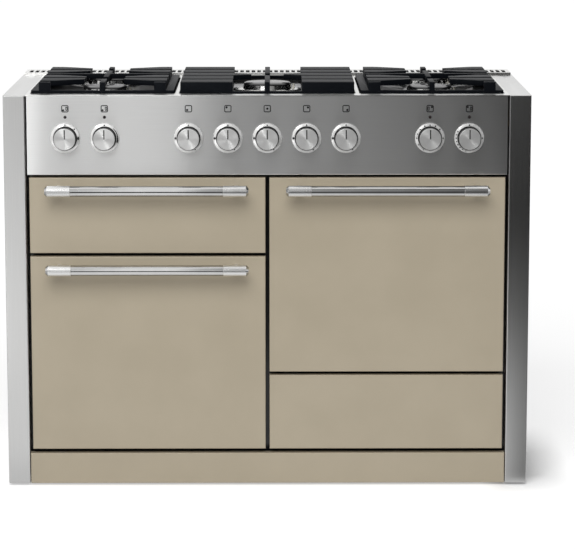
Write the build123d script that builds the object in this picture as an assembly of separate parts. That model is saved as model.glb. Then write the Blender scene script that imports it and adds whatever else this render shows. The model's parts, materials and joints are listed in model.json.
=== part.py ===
from build123d import *
import os

# Free-standing range cooker: five gas burners, a glide-out grill, two drop-door ovens, a storage drawer.
# Millimetres. +X is to the right, +Y to the back, +Z up. The origin is on the floor, under the middle of
# the overall box. A depth called t runs back from the plane of the door fronts.

os.makedirs("parts", exist_ok=True)

# Fronts and the gaps between them
DOOR_WIDTH = 542.0
OVEN_DOOR_HEIGHT = 454.0
SMALL_FRONT_HEIGHT = 175.0
CENTRE_GAP = 9.0
SIDE_GAP = 7.5
FRONT_GAP = 8.0
CONTROL_GAP = 6.4
PLINTH_GAP = 10.0
FLOOR_GAP = 5.6
PLINTH_HEIGHT = 72.0
PLINTH_SIDE_GAP = 1.5
CONTROL_HEIGHT = 183.0
CONTROL_SIDE_GAP = 4.0
FRONT_EDGE_RADIUS = 2.5
TRAY_DEPTH = 22.0

# Carcass
END_PANEL_WIDTH = 50.0
BODY_DEPTH = 608.0
BACK_RECESS = 28.0
SHEET = 2.0
FLOOR_HEIGHT = 24.0
UPSTAND = 40.0
DECK_FLANGE = 32.0
LINER_DEPTH = 23.0
LINER_MARGIN = 20.0
SEAL_GAP = 0.3
SEAL_THICKNESS = 5.7
SEAL_WIDTH = 9.0
SEAL_INSET = 5.0
FIT = 0.3

# Ovens, grill and drawer
OVEN_SIDE_LAND = 51.0
OVEN_LAND = 47.0
GRILL_SIDE_LAND = 41.0
GRILL_LAND = 22.5
REAR_SPACE = 93.0
RUNNER_WIDTH = 10.0
RUNNER_HEIGHT = 12.0
RUNNER_CLEARANCE = 0.3
RAIL_WALL = 4.0
RAIL_SIDE_GAP = 1.0
RUNNER_START = 60.0
RUNNER_REAR_GAP = 40.0
GRILL_RUNNER_RISE = 50.0
PAN_DEPTH = 45.0
PAN_END_GAP = 12.0
PAN_SIDE_GAP = 8.0
CROSS_BAR = 10.0
DRAWER_SIDE_LAND = 29.0
DRAWER_LAND = 14.0
DRAWER_TOP_GAP = 22.0
RACK_ROD = 6.0
RACK_LEVELS = 4
RACK_END_INSET = 30.0
SHELF_WIRE_RADIUS = 2.2
SHELF_WIRES = 15
SHELF_FRONT_GAP = 20.0
SHELF_REAR_GAP = 4.0
SHELF_SIDE_GAP = 1.0
SHELF_LEVEL = 1

# Fans and elements
FAN_RADIUS = 72.0
FAN_BLADES = 12
FAN_BLADE_DEPTH = 18.0
FAN_BLADE_LENGTH = 22.0
FAN_HUB_RADIUS = 12.0
FAN_COVER_SIZE = 250.0
FAN_COVER_DEPTH = 34.0
FAN_COVER_SLOTS = 12
SHAFT_RADIUS = 4.0
RUNNING_CLEARANCE = 0.05
MOTOR_RADIUS = 40.0
MOTOR_LENGTH = 52.0
MOTOR_PLATE = 4.0
ELEMENT_RADIUS = 3.5
ELEMENT_LEG_RADIUS = 2.5
RING_ELEMENT_GAP = 18.0
GRILL_ELEMENT_BEND = 30.0

# Door hinges
HINGE_RISE = 10.0
HINGE_DEPTH = 12.0
HINGE_PIN_RADIUS = 4.0
HINGE_ARM_WIDTH = 14.0
HINGE_ARM_RADIUS = 6.0
HINGE_ARM_CLEARANCE = 1.5
HINGE_BLOCK_WIDTH = 20.0
HINGE_INSET = 60.0
HINGE_PLATE = 2.0

# Handles
HANDLE_LENGTH = 465.0
HANDLE_RADIUS = 12.0
HANDLE_OFFSET = 42.0
HANDLE_DROP = 26.0
SLEEVE_RADIUS = 12.75
SLEEVE_LENGTH = 58.0
SLEEVE_CLEARANCE = 0.1
SLEEVE_CAP = 4.0
SLEEVE_CHAMFER = 1.5
GROOVE_WIDTH = 2.0
GROOVE_DEPTH = 0.8
POST_RADIUS = 8.0

# Knobs
KNOB_RISE = 85.0
KNOB_RADIUS = 25.0
KNOB_FACE = 28.0
KNOB_CHAMFER = 1.5
KNOB_WAIST = 2.0
BEZEL_RADIUS = 33.0
BEZEL_DEPTH = 6.0
BEZEL_BEVEL = 4.0
BEZEL_GAP = 1.0
SPINDLE_RADIUS = 4.0
SPINDLE_GRIP = 14.0
SPINDLE_HOLE_RADIUS = 7.0
POINTER_WIDTH = 1.6
POINTER_DEPTH = 0.8
BURNER_KNOB_PITCH = 90.0
OVEN_KNOB_OUTER = 462.0
OVEN_KNOB_PITCH = 90.0
LAMP_RISE = 48.0
LAMP_RADIUS = 2.5
LAMP_STANDOUT = 1.2
LAMP_BODY_RADIUS = 4.5
LAMP_LENGTH = 18.0

# Gas
TAP_SIZE = 40.0
TAP_NOSE_RADIUS = 10.0
TAP_NOSE = 10.0
TAP_LENGTH = 46.0
RAIL_SIZE = 20.0
RAIL_OVERHANG = 40.0
TUBE_RADIUS = 4.0
TUBE_BEND = 9.0
TUBE_RUN_RISE = 20.0
FEED_RADIUS = 8.0
FEED_BEND = 25.0
FEED_X = 480.0
FEED_TURN = 50.0
INLET_RADIUS = 10.48
INLET_LENGTH = 22.0
INLET_BORE_RADIUS = 6.0
COLLAR_RADIUS = 14.0
COLLAR_LENGTH = 20.0
SWITCH_SIZE = 44.0
SWITCH_LENGTH = 42.0

# Hob
WELL_DEPTH = 10.0
WELL_MARGIN = 3.0
WELL_RADIUS = 8.0
HOB_FLANGE = 22.0
VENT_DEPTH = 95.0
VENT_REAR_GAP = 8.0
VENT_RISE = 6.5
VENT_OVERHANG = 46.0
VENT_SLOT_WIDTH = 9.3
VENT_SLOT_LENGTH = 60.0
VENT_SLOT_PITCH = 14.1
VENT_SLOT_REAR = 54.0
SIDE_GRATE_WIDTH = 328.0
CENTRE_GRATE_WIDTH = 400.0
GRATE_GAP = 15.0
GRATE_FRONT = 44.0
GRATE_REAR = 55.0
GRATE_BAR = 12.0
GRATE_SKIRT = 9.0
GRATE_EASE = 1.5
GRATE_SILL = 8.0
GRATE_POST = 27.0
GRATE_SIDE = 30.0
GRATE_INSET = 18.0
SPINE_GAP = 26.0
FINGER_GAP = 46.0
FINGER_ROOT_NEAR = 10.0
FINGER_ROOT_FAR = 74.0
FINGER_SHOULDER = 32.0
FINGER_TIP_NEAR = 8.0
FINGER_TIP_FAR = 38.0
WOK_FINGER_GAP = 38.0
WOK_FINGER_ROOT = 26.0
CENTRE_MOUTH = 80.0
CENTRE_RIBS = 5
RIB_GAP = 13.0
BURNER_FRONT_INSET = 114.0
BURNER_REAR_INSET = 76.0
BURNER_RADIUS = 54.0
BURNER_RING_RADIUS = 74.0
WOK_RADIUS = 58.0
WOK_RING_RADIUS = 80.0
BURNER_RING = 3.0
BURNER_CUP_RADIUS = 24.0
BURNER_CUP_DEPTH = 22.0
BURNER_CROWN = 10.0
BURNER_CAP = 5.0
CAP_GAP = 6.0
BURNER_CAP_INSET = 4.0
CROWN_WALL = 5.0
FLAME_SLOTS = 20
FLAME_SLOT_WIDTH = 2.5
FLAME_SLOT_DEPTH = 6.0
IGNITER_RADIUS = 2.5
IGNITER_GAP = 4.0
IGNITER_LENGTH = 26.0
IGNITER_TIP = 12.0

# Back and floor fittings
FOOT_INSET = 60.0
FOOT_FRONT = 80.0
FOOT_REAR_GAP = 60.0
FOOT_RADIUS = 22.0
FOOT_PAD = 8.0
FOOT_STEM_RADIUS = 5.0
FOOT_BOSS_RADIUS = 12.0
FOOT_BOSS = 24.0
NUT_ACROSS = 17.0
NUT_HEIGHT = 8.0
SCREW_RADIUS = 2.0
SCREW_HEAD_RADIUS = 4.5
SCREW_HEAD = 2.5
SCREW_LENGTH = 9.0
SCREW_CLEARANCE = 0.1
SCREWS_PER_ROW = 6
SCREW_ROW_INSET = 54.0
TERMINAL_X = -400.0
TERMINAL_RISE = 40.0
TERMINAL_WIDTH = 120.0
TERMINAL_HEIGHT = 80.0
TERMINAL_DEPTH = 25.0
GLAND_RADIUS = 11.0
GLAND_BORE_RADIUS = 7.0
GLAND_LENGTH = 20.0
LOUVRES = 8
LOUVRE_LENGTH = 90.0
LOUVRE_WIDTH = 6.0
LOUVRE_PITCH = 18.0
LOUVRE_X = 275.0
ANCHOR_X = 450.0
ANCHOR_DROP = 120.0
ANCHOR_RADIUS = 3.5

# Widths and levels that follow from the driving dimensions
INNER_HALF = DOOR_WIDTH + SIDE_GAP + CENTRE_GAP / 2
DOOR_X = (CENTRE_GAP + DOOR_WIDTH) / 2
FRONTS_BOTTOM = FLOOR_GAP + PLINTH_HEIGHT + PLINTH_GAP
FRONTS_TOP = FRONTS_BOTTOM + OVEN_DOOR_HEIGHT + FRONT_GAP + SMALL_FRONT_HEIGHT
CONTROL_BOTTOM = FRONTS_TOP + CONTROL_GAP
HOB_Z = CONTROL_BOTTOM + CONTROL_HEIGHT
WELL_Z = HOB_Z - WELL_DEPTH
KNOB_Z = CONTROL_BOTTOM + KNOB_RISE
DECK_Z = CONTROL_BOTTOM + SHEET
FLOOR_Z = FLOOR_HEIGHT + SHEET
GRATE_TOP = WELL_Z + BURNER_RING + BURNER_CROWN + BURNER_CAP + CAP_GAP + GRATE_BAR
LEFT_OVEN_BOTTOM = FRONTS_BOTTOM
RIGHT_OVEN_BOTTOM = FRONTS_TOP - OVEN_DOOR_HEIGHT
GRILL_BOTTOM = FRONTS_TOP - SMALL_FRONT_HEIGHT

# Depths
HANDLE_REACH = HANDLE_OFFSET + SLEEVE_RADIUS
FRONT_Y = HANDLE_REACH - (BODY_DEPTH + HANDLE_REACH) / 2
LINER_T = TRAY_DEPTH + LINER_DEPTH
FRAME_T = LINER_T + SEAL_GAP + SEAL_THICKNESS
CAVITY_T = FRAME_T + SHEET
BACK_T = BODY_DEPTH - BACK_RECESS - SHEET
CAVITY_REAR = BACK_T - REAR_SPACE
CAVITY_BACK = CAVITY_REAR - SHEET
HOB_DEPTH = BODY_DEPTH - VENT_DEPTH - VENT_REAR_GAP
GRATE_DEPTH = HOB_DEPTH - GRATE_FRONT - GRATE_REAR

# Rooms behind the fronts
OVEN_HALF = DOOR_WIDTH / 2 - OVEN_SIDE_LAND
OVEN_HEIGHT = OVEN_DOOR_HEIGHT - 2 * OVEN_LAND
GRILL_HALF = DOOR_WIDTH / 2 - GRILL_SIDE_LAND
GRILL_FLOOR = GRILL_BOTTOM + GRILL_LAND
GRILL_HEIGHT = SMALL_FRONT_HEIGHT - 2 * GRILL_LAND
GRILL_RUNNER_Z = GRILL_FLOOR + GRILL_RUNNER_RISE
CARRIAGE_HALF = GRILL_HALF - RAIL_WALL - RUNNER_CLEARANCE - RUNNER_WIDTH
DRAWER_HALF = DOOR_WIDTH / 2 - DRAWER_SIDE_LAND
DRAWER_OPENING_HALF = DRAWER_HALF + RUNNER_WIDTH + RAIL_SIDE_GAP + FIT
DRAWER_FLOOR = FRONTS_BOTTOM + DRAWER_LAND
DRAWER_CEILING = FRONTS_BOTTOM + SMALL_FRONT_HEIGHT - DRAWER_LAND
DRAWER_RUNNER_Z = (DRAWER_FLOOR + DRAWER_CEILING) / 2
RUNNER_END = CAVITY_BACK - RUNNER_REAR_GAP

# Burner places: (x, t, head radius, ring radius), with the knob that feeds each
SIDE_GRATE_X = CENTRE_GRATE_WIDTH / 2 + GRATE_GAP + SIDE_GRATE_WIDTH / 2
FRONT_BURNER_T = GRATE_FRONT + BURNER_FRONT_INSET
REAR_BURNER_T = GRATE_FRONT + GRATE_DEPTH - BURNER_REAR_INSET
WOK_T = GRATE_FRONT + GRATE_DEPTH / 2
BURNERS = {
    "front_left": (-SIDE_GRATE_X, FRONT_BURNER_T, BURNER_RADIUS, BURNER_RING_RADIUS, -2 * BURNER_KNOB_PITCH),
    "rear_left": (-SIDE_GRATE_X, REAR_BURNER_T, BURNER_RADIUS, BURNER_RING_RADIUS, -BURNER_KNOB_PITCH),
    "wok": (0.0, WOK_T, WOK_RADIUS, WOK_RING_RADIUS, 0.0),
    "rear_right": (SIDE_GRATE_X, REAR_BURNER_T, BURNER_RADIUS, BURNER_RING_RADIUS, BURNER_KNOB_PITCH),
    "front_right": (SIDE_GRATE_X, FRONT_BURNER_T, BURNER_RADIUS, BURNER_RING_RADIUS, 2 * BURNER_KNOB_PITCH),
}
OVEN_KNOBS = {
    "left_oven_selector": -OVEN_KNOB_OUTER,
    "left_oven_thermostat": OVEN_KNOB_PITCH - OVEN_KNOB_OUTER,
    "right_oven_thermostat": OVEN_KNOB_OUTER - OVEN_KNOB_PITCH,
    "grill": OVEN_KNOB_OUTER,
}
KNOBS = {name + "_burner": place[4] for name, place in BURNERS.items()} | OVEN_KNOBS


def slab(x0, x1, t0, t1, z0, z1):
    """A block given by its faces: x across, t back from the fronts, z up."""
    centre = Pos((x0 + x1) / 2, FRONT_Y + (t0 + t1) / 2, (z0 + z1) / 2)
    return centre * Box(x1 - x0, t1 - t0, z1 - z0)


def plate(corners, z0, z1):
    """A flat plate with the given (x, t) corners, between two heights."""
    outline = Polyline(*[(x, FRONT_Y + t) for x, t in corners], close=True)
    return Pos(0, 0, z0) * extrude(make_face(outline), z1 - z0, dir=(0, 0, 1))


def rod_back(x, z, t0, t1, radius):
    """A round rod that runs front to back."""
    return Pos(x, FRONT_Y + (t0 + t1) / 2, z) * Rot(90, 0, 0) * Cylinder(radius, t1 - t0)


def rod_across(x0, x1, t, z, radius):
    """A round rod that runs left to right."""
    return Pos((x0 + x1) / 2, FRONT_Y + t, z) * Rot(0, 90, 0) * Cylinder(radius, x1 - x0)


def rod_up(x, t, z0, z1, radius):
    """A round rod that stands upright."""
    return Pos(x, FRONT_Y + t, (z0 + z1) / 2) * Cylinder(radius, z1 - z0)


def turned_back(profile, x, z):
    """A piece turned about a front-to-back axis; the profile holds (radius, t) corners."""
    outline = Polyline(*[(radius, FRONT_Y + t) for radius, t in profile], close=True)
    return Pos(x, 0, z) * revolve(make_face(outline), Axis.Y)


def turned_up(profile, x, t):
    """A piece turned about an upright axis; the profile holds (radius, z) corners."""
    face = Plane.XZ * make_face(Polyline(*profile, close=True))
    return Pos(x, FRONT_Y + t, 0) * revolve(face, Axis.Z)


def bent_tube(points, radius, bend):
    """A round tube along straight runs, given as (x, t, z), with rounded corners."""
    path = FilletPolyline(*[(x, FRONT_Y + t, z) for x, t, z in points], radius=bend)
    return sweep(Plane(path @ 0, z_dir=path % 0) * Circle(radius), path=path)


def tray(x0, x1, t0, t1, z0, z1, wall):
    """A folded front: a skin with returns all round, open at the back, its front edges rounded."""
    block = slab(x0, x1, t0, t1, z0, z1)
    block = fillet(block.faces().sort_by(Axis.Y)[0].edges(), FRONT_EDGE_RADIUS)
    return block - slab(x0 + wall, x1 - wall, t0 + wall, t1 + wall, z0 + wall, z1 - wall)


def ring_frame(half, x, t0, t1, z0, z1, width):
    """A flat rectangular ring of one width, seen from the front."""
    inner = slab(x - half, x + half, t0 - width, t1 + width, z0, z1)
    return slab(x - half - width, x + half + width, t0, t1, z0 - width, z1 + width) - inner


def save(node, *pieces):
    """Write one named sub-part, each piece a separate solid."""
    solids = [solid for piece in pieces for solid in piece.solids()]
    export_step(Compound(solids), f"parts/{node}.step")
    print(node, len(solids))


def end_panel(side):
    """A steel pillar: a box section, open below, with softened front and top edges."""
    x0, x1 = sorted((side * INNER_HALF, side * (INNER_HALF + END_PANEL_WIDTH)))
    block = slab(x0, x1, 0, BODY_DEPTH, FLOOR_GAP, HOB_Z)
    block = fillet(block.faces().sort_by(Axis.Y)[0].edges(), FRONT_EDGE_RADIUS)
    hollow = slab(x0 + SHEET, x1 - SHEET, SHEET, BODY_DEPTH - SHEET, FLOOR_GAP - SHEET, HOB_Z - SHEET)
    return block - hollow


def foot_places():
    """Where the four levelling feet stand, as (x, t)."""
    reach = INNER_HALF - FOOT_INSET
    return [(x, t) for x in (-reach, reach) for t in (FOOT_FRONT, BACK_T - FOOT_REAR_GAP)]


def screw_places():
    """Where the back panel is screwed on, as (x, z): one row on the floor tray, one on the deck."""
    pitch = 2 * (INNER_HALF - SCREW_ROW_INSET) / (SCREWS_PER_ROW - 1)
    columns = [SCREW_ROW_INSET - INNER_HALF + pitch * place for place in range(SCREWS_PER_ROW)]
    rows = (FLOOR_HEIGHT + UPSTAND / 2 + SHEET, DECK_Z + SHEET + DECK_FLANGE / 2)
    return [(x, z) for z in rows for x in columns]


def chassis():
    """The welded inner frame: floor tray, centre divider and the deck above the ovens."""
    frame = slab(-INNER_HALF, INNER_HALF, TRAY_DEPTH, BACK_T, FLOOR_HEIGHT, FLOOR_Z)
    upstand_top = FLOOR_HEIGHT + UPSTAND
    frame += slab(-INNER_HALF, INNER_HALF, TRAY_DEPTH, TRAY_DEPTH + SHEET, FLOOR_HEIGHT, upstand_top)
    frame += slab(-INNER_HALF, INNER_HALF, BACK_T - SHEET, BACK_T, FLOOR_HEIGHT, upstand_top)
    frame += slab(-SHEET / 2, SHEET / 2, CAVITY_T, BACK_T, FLOOR_HEIGHT, DECK_Z)
    frame += slab(-INNER_HALF, INNER_HALF, CAVITY_T, BACK_T, DECK_Z, DECK_Z + SHEET)
    frame += slab(-INNER_HALF, INNER_HALF, BACK_T - SHEET, BACK_T, DECK_Z, DECK_Z + SHEET + DECK_FLANGE)
    for x, t in foot_places():
        frame += rod_up(x, t, FLOOR_HEIGHT, FLOOR_HEIGHT + FOOT_BOSS, FOOT_BOSS_RADIUS)
    bore = FOOT_STEM_RADIUS + RUNNING_CLEARANCE
    for x, t in foot_places():
        frame -= rod_up(x, t, 0, FLOOR_HEIGHT + 2 * FOOT_BOSS, bore)
    for x, z in screw_places():
        frame -= rod_back(x, z, BACK_T - 2 * SHEET, BACK_T + SHEET, SCREW_RADIUS + SCREW_CLEARANCE)
    return frame


def feet():
    """Four levelling feet, each a pad on a stem, locked under the floor tray by a hexagon nut."""
    pieces = []
    stem_top = FLOOR_HEIGHT + FOOT_BOSS
    for x, t in foot_places():
        pieces.append(rod_up(x, t, 0, FOOT_PAD, FOOT_RADIUS) + rod_up(x, t, 0, stem_top, FOOT_STEM_RADIUS))
        nut = extrude(RegularPolygon(NUT_ACROSS / 2, 6, major_radius=False), NUT_HEIGHT)
        nut = Pos(x, FRONT_Y + t, FLOOR_HEIGHT - NUT_HEIGHT) * nut
        pieces.append(nut - rod_up(x, t, 0, stem_top, FOOT_STEM_RADIUS + RUNNING_CLEARANCE))
    return pieces


def back_panel():
    """The back sheet, with louvres, screw holes, anchor holes and the gas inlet's hole."""
    top = HOB_Z + VENT_RISE - SHEET
    panel = slab(-INNER_HALF, INNER_HALF, BACK_T, BACK_T + SHEET, FLOOR_HEIGHT, top)
    middle = (FLOOR_Z + DECK_Z) / 2
    for x in (-LOUVRE_X, LOUVRE_X):
        for row in range(LOUVRES):
            z = middle + (row - (LOUVRES - 1) / 2) * LOUVRE_PITCH
            panel -= slab(x - LOUVRE_LENGTH / 2, x + LOUVRE_LENGTH / 2, BACK_T - SHEET, BACK_T + 2 * SHEET,
                          z - LOUVRE_WIDTH / 2, z + LOUVRE_WIDTH / 2)
    for x, z in screw_places():
        panel -= rod_back(x, z, BACK_T - SHEET, BACK_T + 2 * SHEET, SCREW_RADIUS + SCREW_CLEARANCE)
    for x in (-ANCHOR_X, ANCHOR_X):
        panel -= rod_back(x, DECK_Z - ANCHOR_DROP, BACK_T - SHEET, BACK_T + 2 * SHEET, ANCHOR_RADIUS)
    return panel - rod_back(FEED_X, FEED_Z, BACK_T - SHEET, BACK_T + 2 * SHEET, COLLAR_RADIUS + FIT)


def screws():
    """Round-head screws that hold the back panel."""
    face = BACK_T + SHEET
    return [rod_back(x, z, face, face + SCREW_HEAD, SCREW_HEAD_RADIUS)
            + rod_back(x, z, face - SCREW_LENGTH, face + SCREW_HEAD, SCREW_RADIUS)
            for x, z in screw_places()]


def front_frame():
    """The plate behind the fronts, with an opening for each oven, the grill and the drawer."""
    frame = slab(-INNER_HALF, INNER_HALF, FRAME_T, CAVITY_T, FLOOR_Z, DECK_Z + SHEET)
    cut = (FRAME_T - SHEET, CAVITY_T + SHEET)
    for x, bottom in ((-DOOR_X, LEFT_OVEN_BOTTOM), (DOOR_X, RIGHT_OVEN_BOTTOM)):
        z = bottom + OVEN_LAND
        frame -= slab(x - OVEN_HALF, x + OVEN_HALF, *cut, z, z + OVEN_HEIGHT)
    frame -= slab(-DOOR_X - GRILL_HALF, -DOOR_X + GRILL_HALF, *cut, GRILL_FLOOR, GRILL_FLOOR + GRILL_HEIGHT)
    frame -= slab(DOOR_X - DRAWER_OPENING_HALF, DOOR_X + DRAWER_OPENING_HALF, *cut,
                  DRAWER_FLOOR - FIT, DRAWER_CEILING)
    return frame


def cavity(x, half, floor, height):
    """A folded steel room, open at the front, its edges on the back of the front frame."""
    shell = slab(x - half - SHEET, x + half + SHEET, CAVITY_T, CAVITY_REAR, floor - SHEET,
                 floor + height + SHEET)
    return shell - slab(x - half, x + half, CAVITY_T - SHEET, CAVITY_BACK, floor, floor + height)


def oven_cavity(x, bottom):
    """An oven room, with the hole for its fan's shaft in the back wall."""
    floor = bottom + OVEN_LAND
    hole = rod_back(x, floor + OVEN_HEIGHT / 2, CAVITY_BACK - SHEET, CAVITY_REAR + SHEET, 2 * SHAFT_RADIUS)
    return cavity(x, OVEN_HALF, floor, OVEN_HEIGHT) - hole


def rack_z(bottom, level):
    """The height of the top of one rack ledge."""
    return bottom + OVEN_LAND + OVEN_HEIGHT * (level + 1) / (RACK_LEVELS + 1)


def rack_support(x, side, bottom):
    """A ladder of square rods on one oven wall: two uprights and a ledge for each level."""
    wall = x + side * OVEN_HALF
    upright = sorted((wall, wall - side * RACK_ROD))
    ledge = sorted((wall - side * RACK_ROD, wall - side * 2 * RACK_ROD))
    front = CAVITY_T + RACK_END_INSET
    rear = FAN_COVER_T - RACK_END_INSET
    foot = bottom + OVEN_LAND + RACK_ROD
    head = bottom + OVEN_LAND + OVEN_HEIGHT - RACK_ROD
    ladder = slab(*upright, front, front + RACK_ROD, foot, head)
    ladder += slab(*upright, rear - RACK_ROD, rear, foot, head)
    for level in range(RACK_LEVELS):
        z = rack_z(bottom, level)
        ladder += slab(*ledge, front, rear, z - RACK_ROD, z)
    return ladder


def shelf(x, bottom):
    """A wire shelf on the ledges: a square-rod frame with round wires let into its top."""
    half = OVEN_HALF - RACK_ROD - SHELF_SIDE_GAP
    low = rack_z(bottom, SHELF_LEVEL) + FIT
    high = low + RACK_ROD
    front = LINER_T + SHELF_FRONT_GAP
    rear = FAN_COVER_T - SHELF_REAR_GAP
    grid = slab(x - half, x + half, front, rear, low, high)
    grid -= slab(x - half + RACK_ROD, x + half - RACK_ROD, front + RACK_ROD, rear - RACK_ROD, low, high)
    pitch = 2 * half / (SHELF_WIRES + 1)
    for wire in range(SHELF_WIRES):
        grid += rod_back(x - half + pitch * (wire + 1), high - SHELF_WIRE_RADIUS / 2, front + RACK_ROD / 2,
                         rear - RACK_ROD / 2, SHELF_WIRE_RADIUS)
    return grid


def fan_height(bottom):
    """The height of an oven fan's axis."""
    return bottom + OVEN_DOOR_HEIGHT / 2


def fan_cover(x, bottom):
    """A baffle on the oven's back wall, with a ring of radial slots for the air."""
    z = fan_height(bottom)
    half = FAN_COVER_SIZE / 2
    cover = tray(x - half, x + half, FAN_COVER_T, CAVITY_BACK, z - half, z + half, SHEET)
    slot = Box(FAN_RADIUS - 2 * FAN_HUB_RADIUS, 4 * SHEET, FAN_HUB_RADIUS / 2)
    reach = (FAN_RADIUS + 2 * FAN_HUB_RADIUS) / 2
    for turn in range(FAN_COVER_SLOTS):
        place = Pos(x, FRONT_Y + FAN_COVER_T, z) * Rot(0, 360 * turn / FAN_COVER_SLOTS, 0) * Pos(reach, 0, 0)
        cover -= place * slot
    return cover


def fan(x, bottom):
    """A radial fan: a disc with straight blades, on a hub and a shaft that runs into the motor."""
    z = fan_height(bottom)
    disc_t = CAVITY_BACK - 2 * SHEET
    wheel = rod_back(x, z, disc_t - SHEET, disc_t, FAN_RADIUS)
    wheel += rod_back(x, z, disc_t - FAN_BLADE_DEPTH, disc_t, FAN_HUB_RADIUS)
    blade = Box(FAN_BLADE_LENGTH, FAN_BLADE_DEPTH, SHEET)
    place_t = FRONT_Y + disc_t - FAN_BLADE_DEPTH / 2
    for turn in range(FAN_BLADES):
        place = Pos(x, place_t, z) * Rot(0, 360 * turn / FAN_BLADES, 0)
        wheel += place * Pos(FAN_RADIUS - FAN_BLADE_LENGTH / 2, 0, 0) * blade
    return wheel + rod_back(x, z, disc_t - SHEET, CAVITY_REAR + MOTOR_LENGTH / 2, SHAFT_RADIUS)


def fan_motor(x, bottom):
    """The motor behind an oven, on a square plate, with a running bore for the fan's shaft."""
    z = fan_height(bottom)
    plate_t = CAVITY_REAR + MOTOR_PLATE
    motor = slab(x - MOTOR_RADIUS, x + MOTOR_RADIUS, CAVITY_REAR, plate_t, z - MOTOR_RADIUS, z + MOTOR_RADIUS)
    motor += rod_back(x, z, plate_t, CAVITY_REAR + MOTOR_LENGTH, MOTOR_RADIUS - MOTOR_PLATE)
    bore_end = CAVITY_REAR + MOTOR_LENGTH / 2 + SHEET
    return motor - rod_back(x, z, CAVITY_REAR - SHEET, bore_end, SHAFT_RADIUS + RUNNING_CLEARANCE)


def ring_element(x, bottom):
    """The ring heater round an oven fan, its two legs on the back wall."""
    z = fan_height(bottom)
    ring_radius = FAN_RADIUS + RING_ELEMENT_GAP
    middle = (FAN_COVER_T + CAVITY_BACK) / 2
    element = Pos(x, FRONT_Y + middle, z) * Rot(90, 0, 0) * Torus(ring_radius, ELEMENT_RADIUS)
    for side in (-1, 1):
        element += rod_back(x, z + side * ring_radius, middle, CAVITY_BACK, ELEMENT_LEG_RADIUS)
    return element


def grill_element():
    """The grill's heater: one rod that snakes under the roof, both ends in the back wall."""
    z = GRILL_FLOOR + GRILL_HEIGHT - 3 * ELEMENT_RADIUS
    step = GRILL_HALF / 2
    front = CAVITY_T + step
    rear = CAVITY_BACK - step
    columns = [-DOOR_X + step * (run - 1.5) for run in range(4)]
    points = [(columns[0], CAVITY_BACK, z), (columns[0], front, z), (columns[1], front, z),
              (columns[1], rear, z), (columns[2], rear, z), (columns[2], front, z),
              (columns[3], front, z), (columns[3], CAVITY_BACK, z)]
    return bent_tube(points, ELEMENT_RADIUS, GRILL_ELEMENT_BEND)


def slide_rail(x, side, half, support, z, rear):
    """A fixed rail with a groove towards the slide; it reaches out to the wall that carries it."""
    face = x + side * (half + RAIL_SIDE_GAP)
    groove = x + side * (half + RUNNER_WIDTH + RUNNER_CLEARANCE)
    room = RUNNER_HEIGHT / 2 + RUNNER_CLEARANCE
    rail = slab(*sorted((face, support)), CAVITY_T, rear, z - room - RAIL_WALL, z + room + RAIL_WALL)
    mouth = face - side * RAIL_SIDE_GAP
    return rail - slab(*sorted((mouth, groove)), CAVITY_T - SHEET, rear - RAIL_WALL, z - room, z + room)


def runners(x, half, z):
    """The two bars on a slide's sides, which run in the fixed rails."""
    bars = []
    for side in (-1, 1):
        edge = sorted((x + side * half, x + side * (half + RUNNER_WIDTH)))
        bars.append(slab(*edge, RUNNER_START, RUNNER_END, z - RUNNER_HEIGHT / 2, z + RUNNER_HEIGHT / 2))
    return bars


def back_plate(x, bottom):
    """The plate that closes the back of a small front and carries it on its slide."""
    half = DOOR_WIDTH / 2 - FIT
    return slab(x - half, x + half, TRAY_DEPTH, TRAY_DEPTH + SHEET, bottom + FIT,
                bottom + SMALL_FRONT_HEIGHT - FIT)


def grill_carriage():
    """The glide-out frame: a back plate on the front, two side plates with runners, two cross bars."""
    low = GRILL_RUNNER_Z - RUNNER_HEIGHT / 2
    high = GRILL_RUNNER_Z + RUNNER_HEIGHT / 2
    x0 = -DOOR_X - CARRIAGE_HALF
    x1 = -DOOR_X + CARRIAGE_HALF
    frame = back_plate(-DOOR_X, GRILL_BOTTOM)
    frame += slab(x0, x0 + SHEET, TRAY_DEPTH, RUNNER_END, low, high)
    frame += slab(x1 - SHEET, x1, TRAY_DEPTH, RUNNER_END, low, high)
    frame += slab(x0, x1, RUNNER_START, RUNNER_START + CROSS_BAR, low, high)
    frame += slab(x0, x1, RUNNER_END - CROSS_BAR, RUNNER_END, low, high)
    for bar in runners(-DOOR_X, CARRIAGE_HALF, GRILL_RUNNER_Z):
        frame += bar
    return frame


def grill_pan():
    """The enamelled pan, hung by its lip on the carriage's side plates."""
    lip = GRILL_RUNNER_Z + RUNNER_HEIGHT / 2
    half = CARRIAGE_HALF - PAN_SIDE_GAP
    front = RUNNER_START + CROSS_BAR + PAN_END_GAP
    rear = RUNNER_END - CROSS_BAR - PAN_END_GAP
    pan = slab(-DOOR_X - CARRIAGE_HALF, -DOOR_X + CARRIAGE_HALF, front, rear, lip, lip + SHEET)
    pan += slab(-DOOR_X - half, -DOOR_X + half, front, rear, lip - PAN_DEPTH, lip)
    return pan - slab(-DOOR_X - half + SHEET, -DOOR_X + half - SHEET, front + SHEET, rear - SHEET,
                      lip - PAN_DEPTH + SHEET, lip + 2 * SHEET)


def drawer_box():
    """The storage drawer's open box, with a runner on each side."""
    top = DRAWER_CEILING - DRAWER_TOP_GAP
    x0 = DOOR_X - DRAWER_HALF
    x1 = DOOR_X + DRAWER_HALF
    box = slab(x0, x1, TRAY_DEPTH, CAVITY_BACK, DRAWER_FLOOR, top)
    box -= slab(x0 + SHEET, x1 - SHEET, TRAY_DEPTH + SHEET, CAVITY_BACK - SHEET, DRAWER_FLOOR + SHEET,
                top + SHEET)
    box += back_plate(DOOR_X, FRONTS_BOTTOM)
    for bar in runners(DOOR_X, DRAWER_HALF, DRAWER_RUNNER_Z):
        box += bar
    return box


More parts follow.
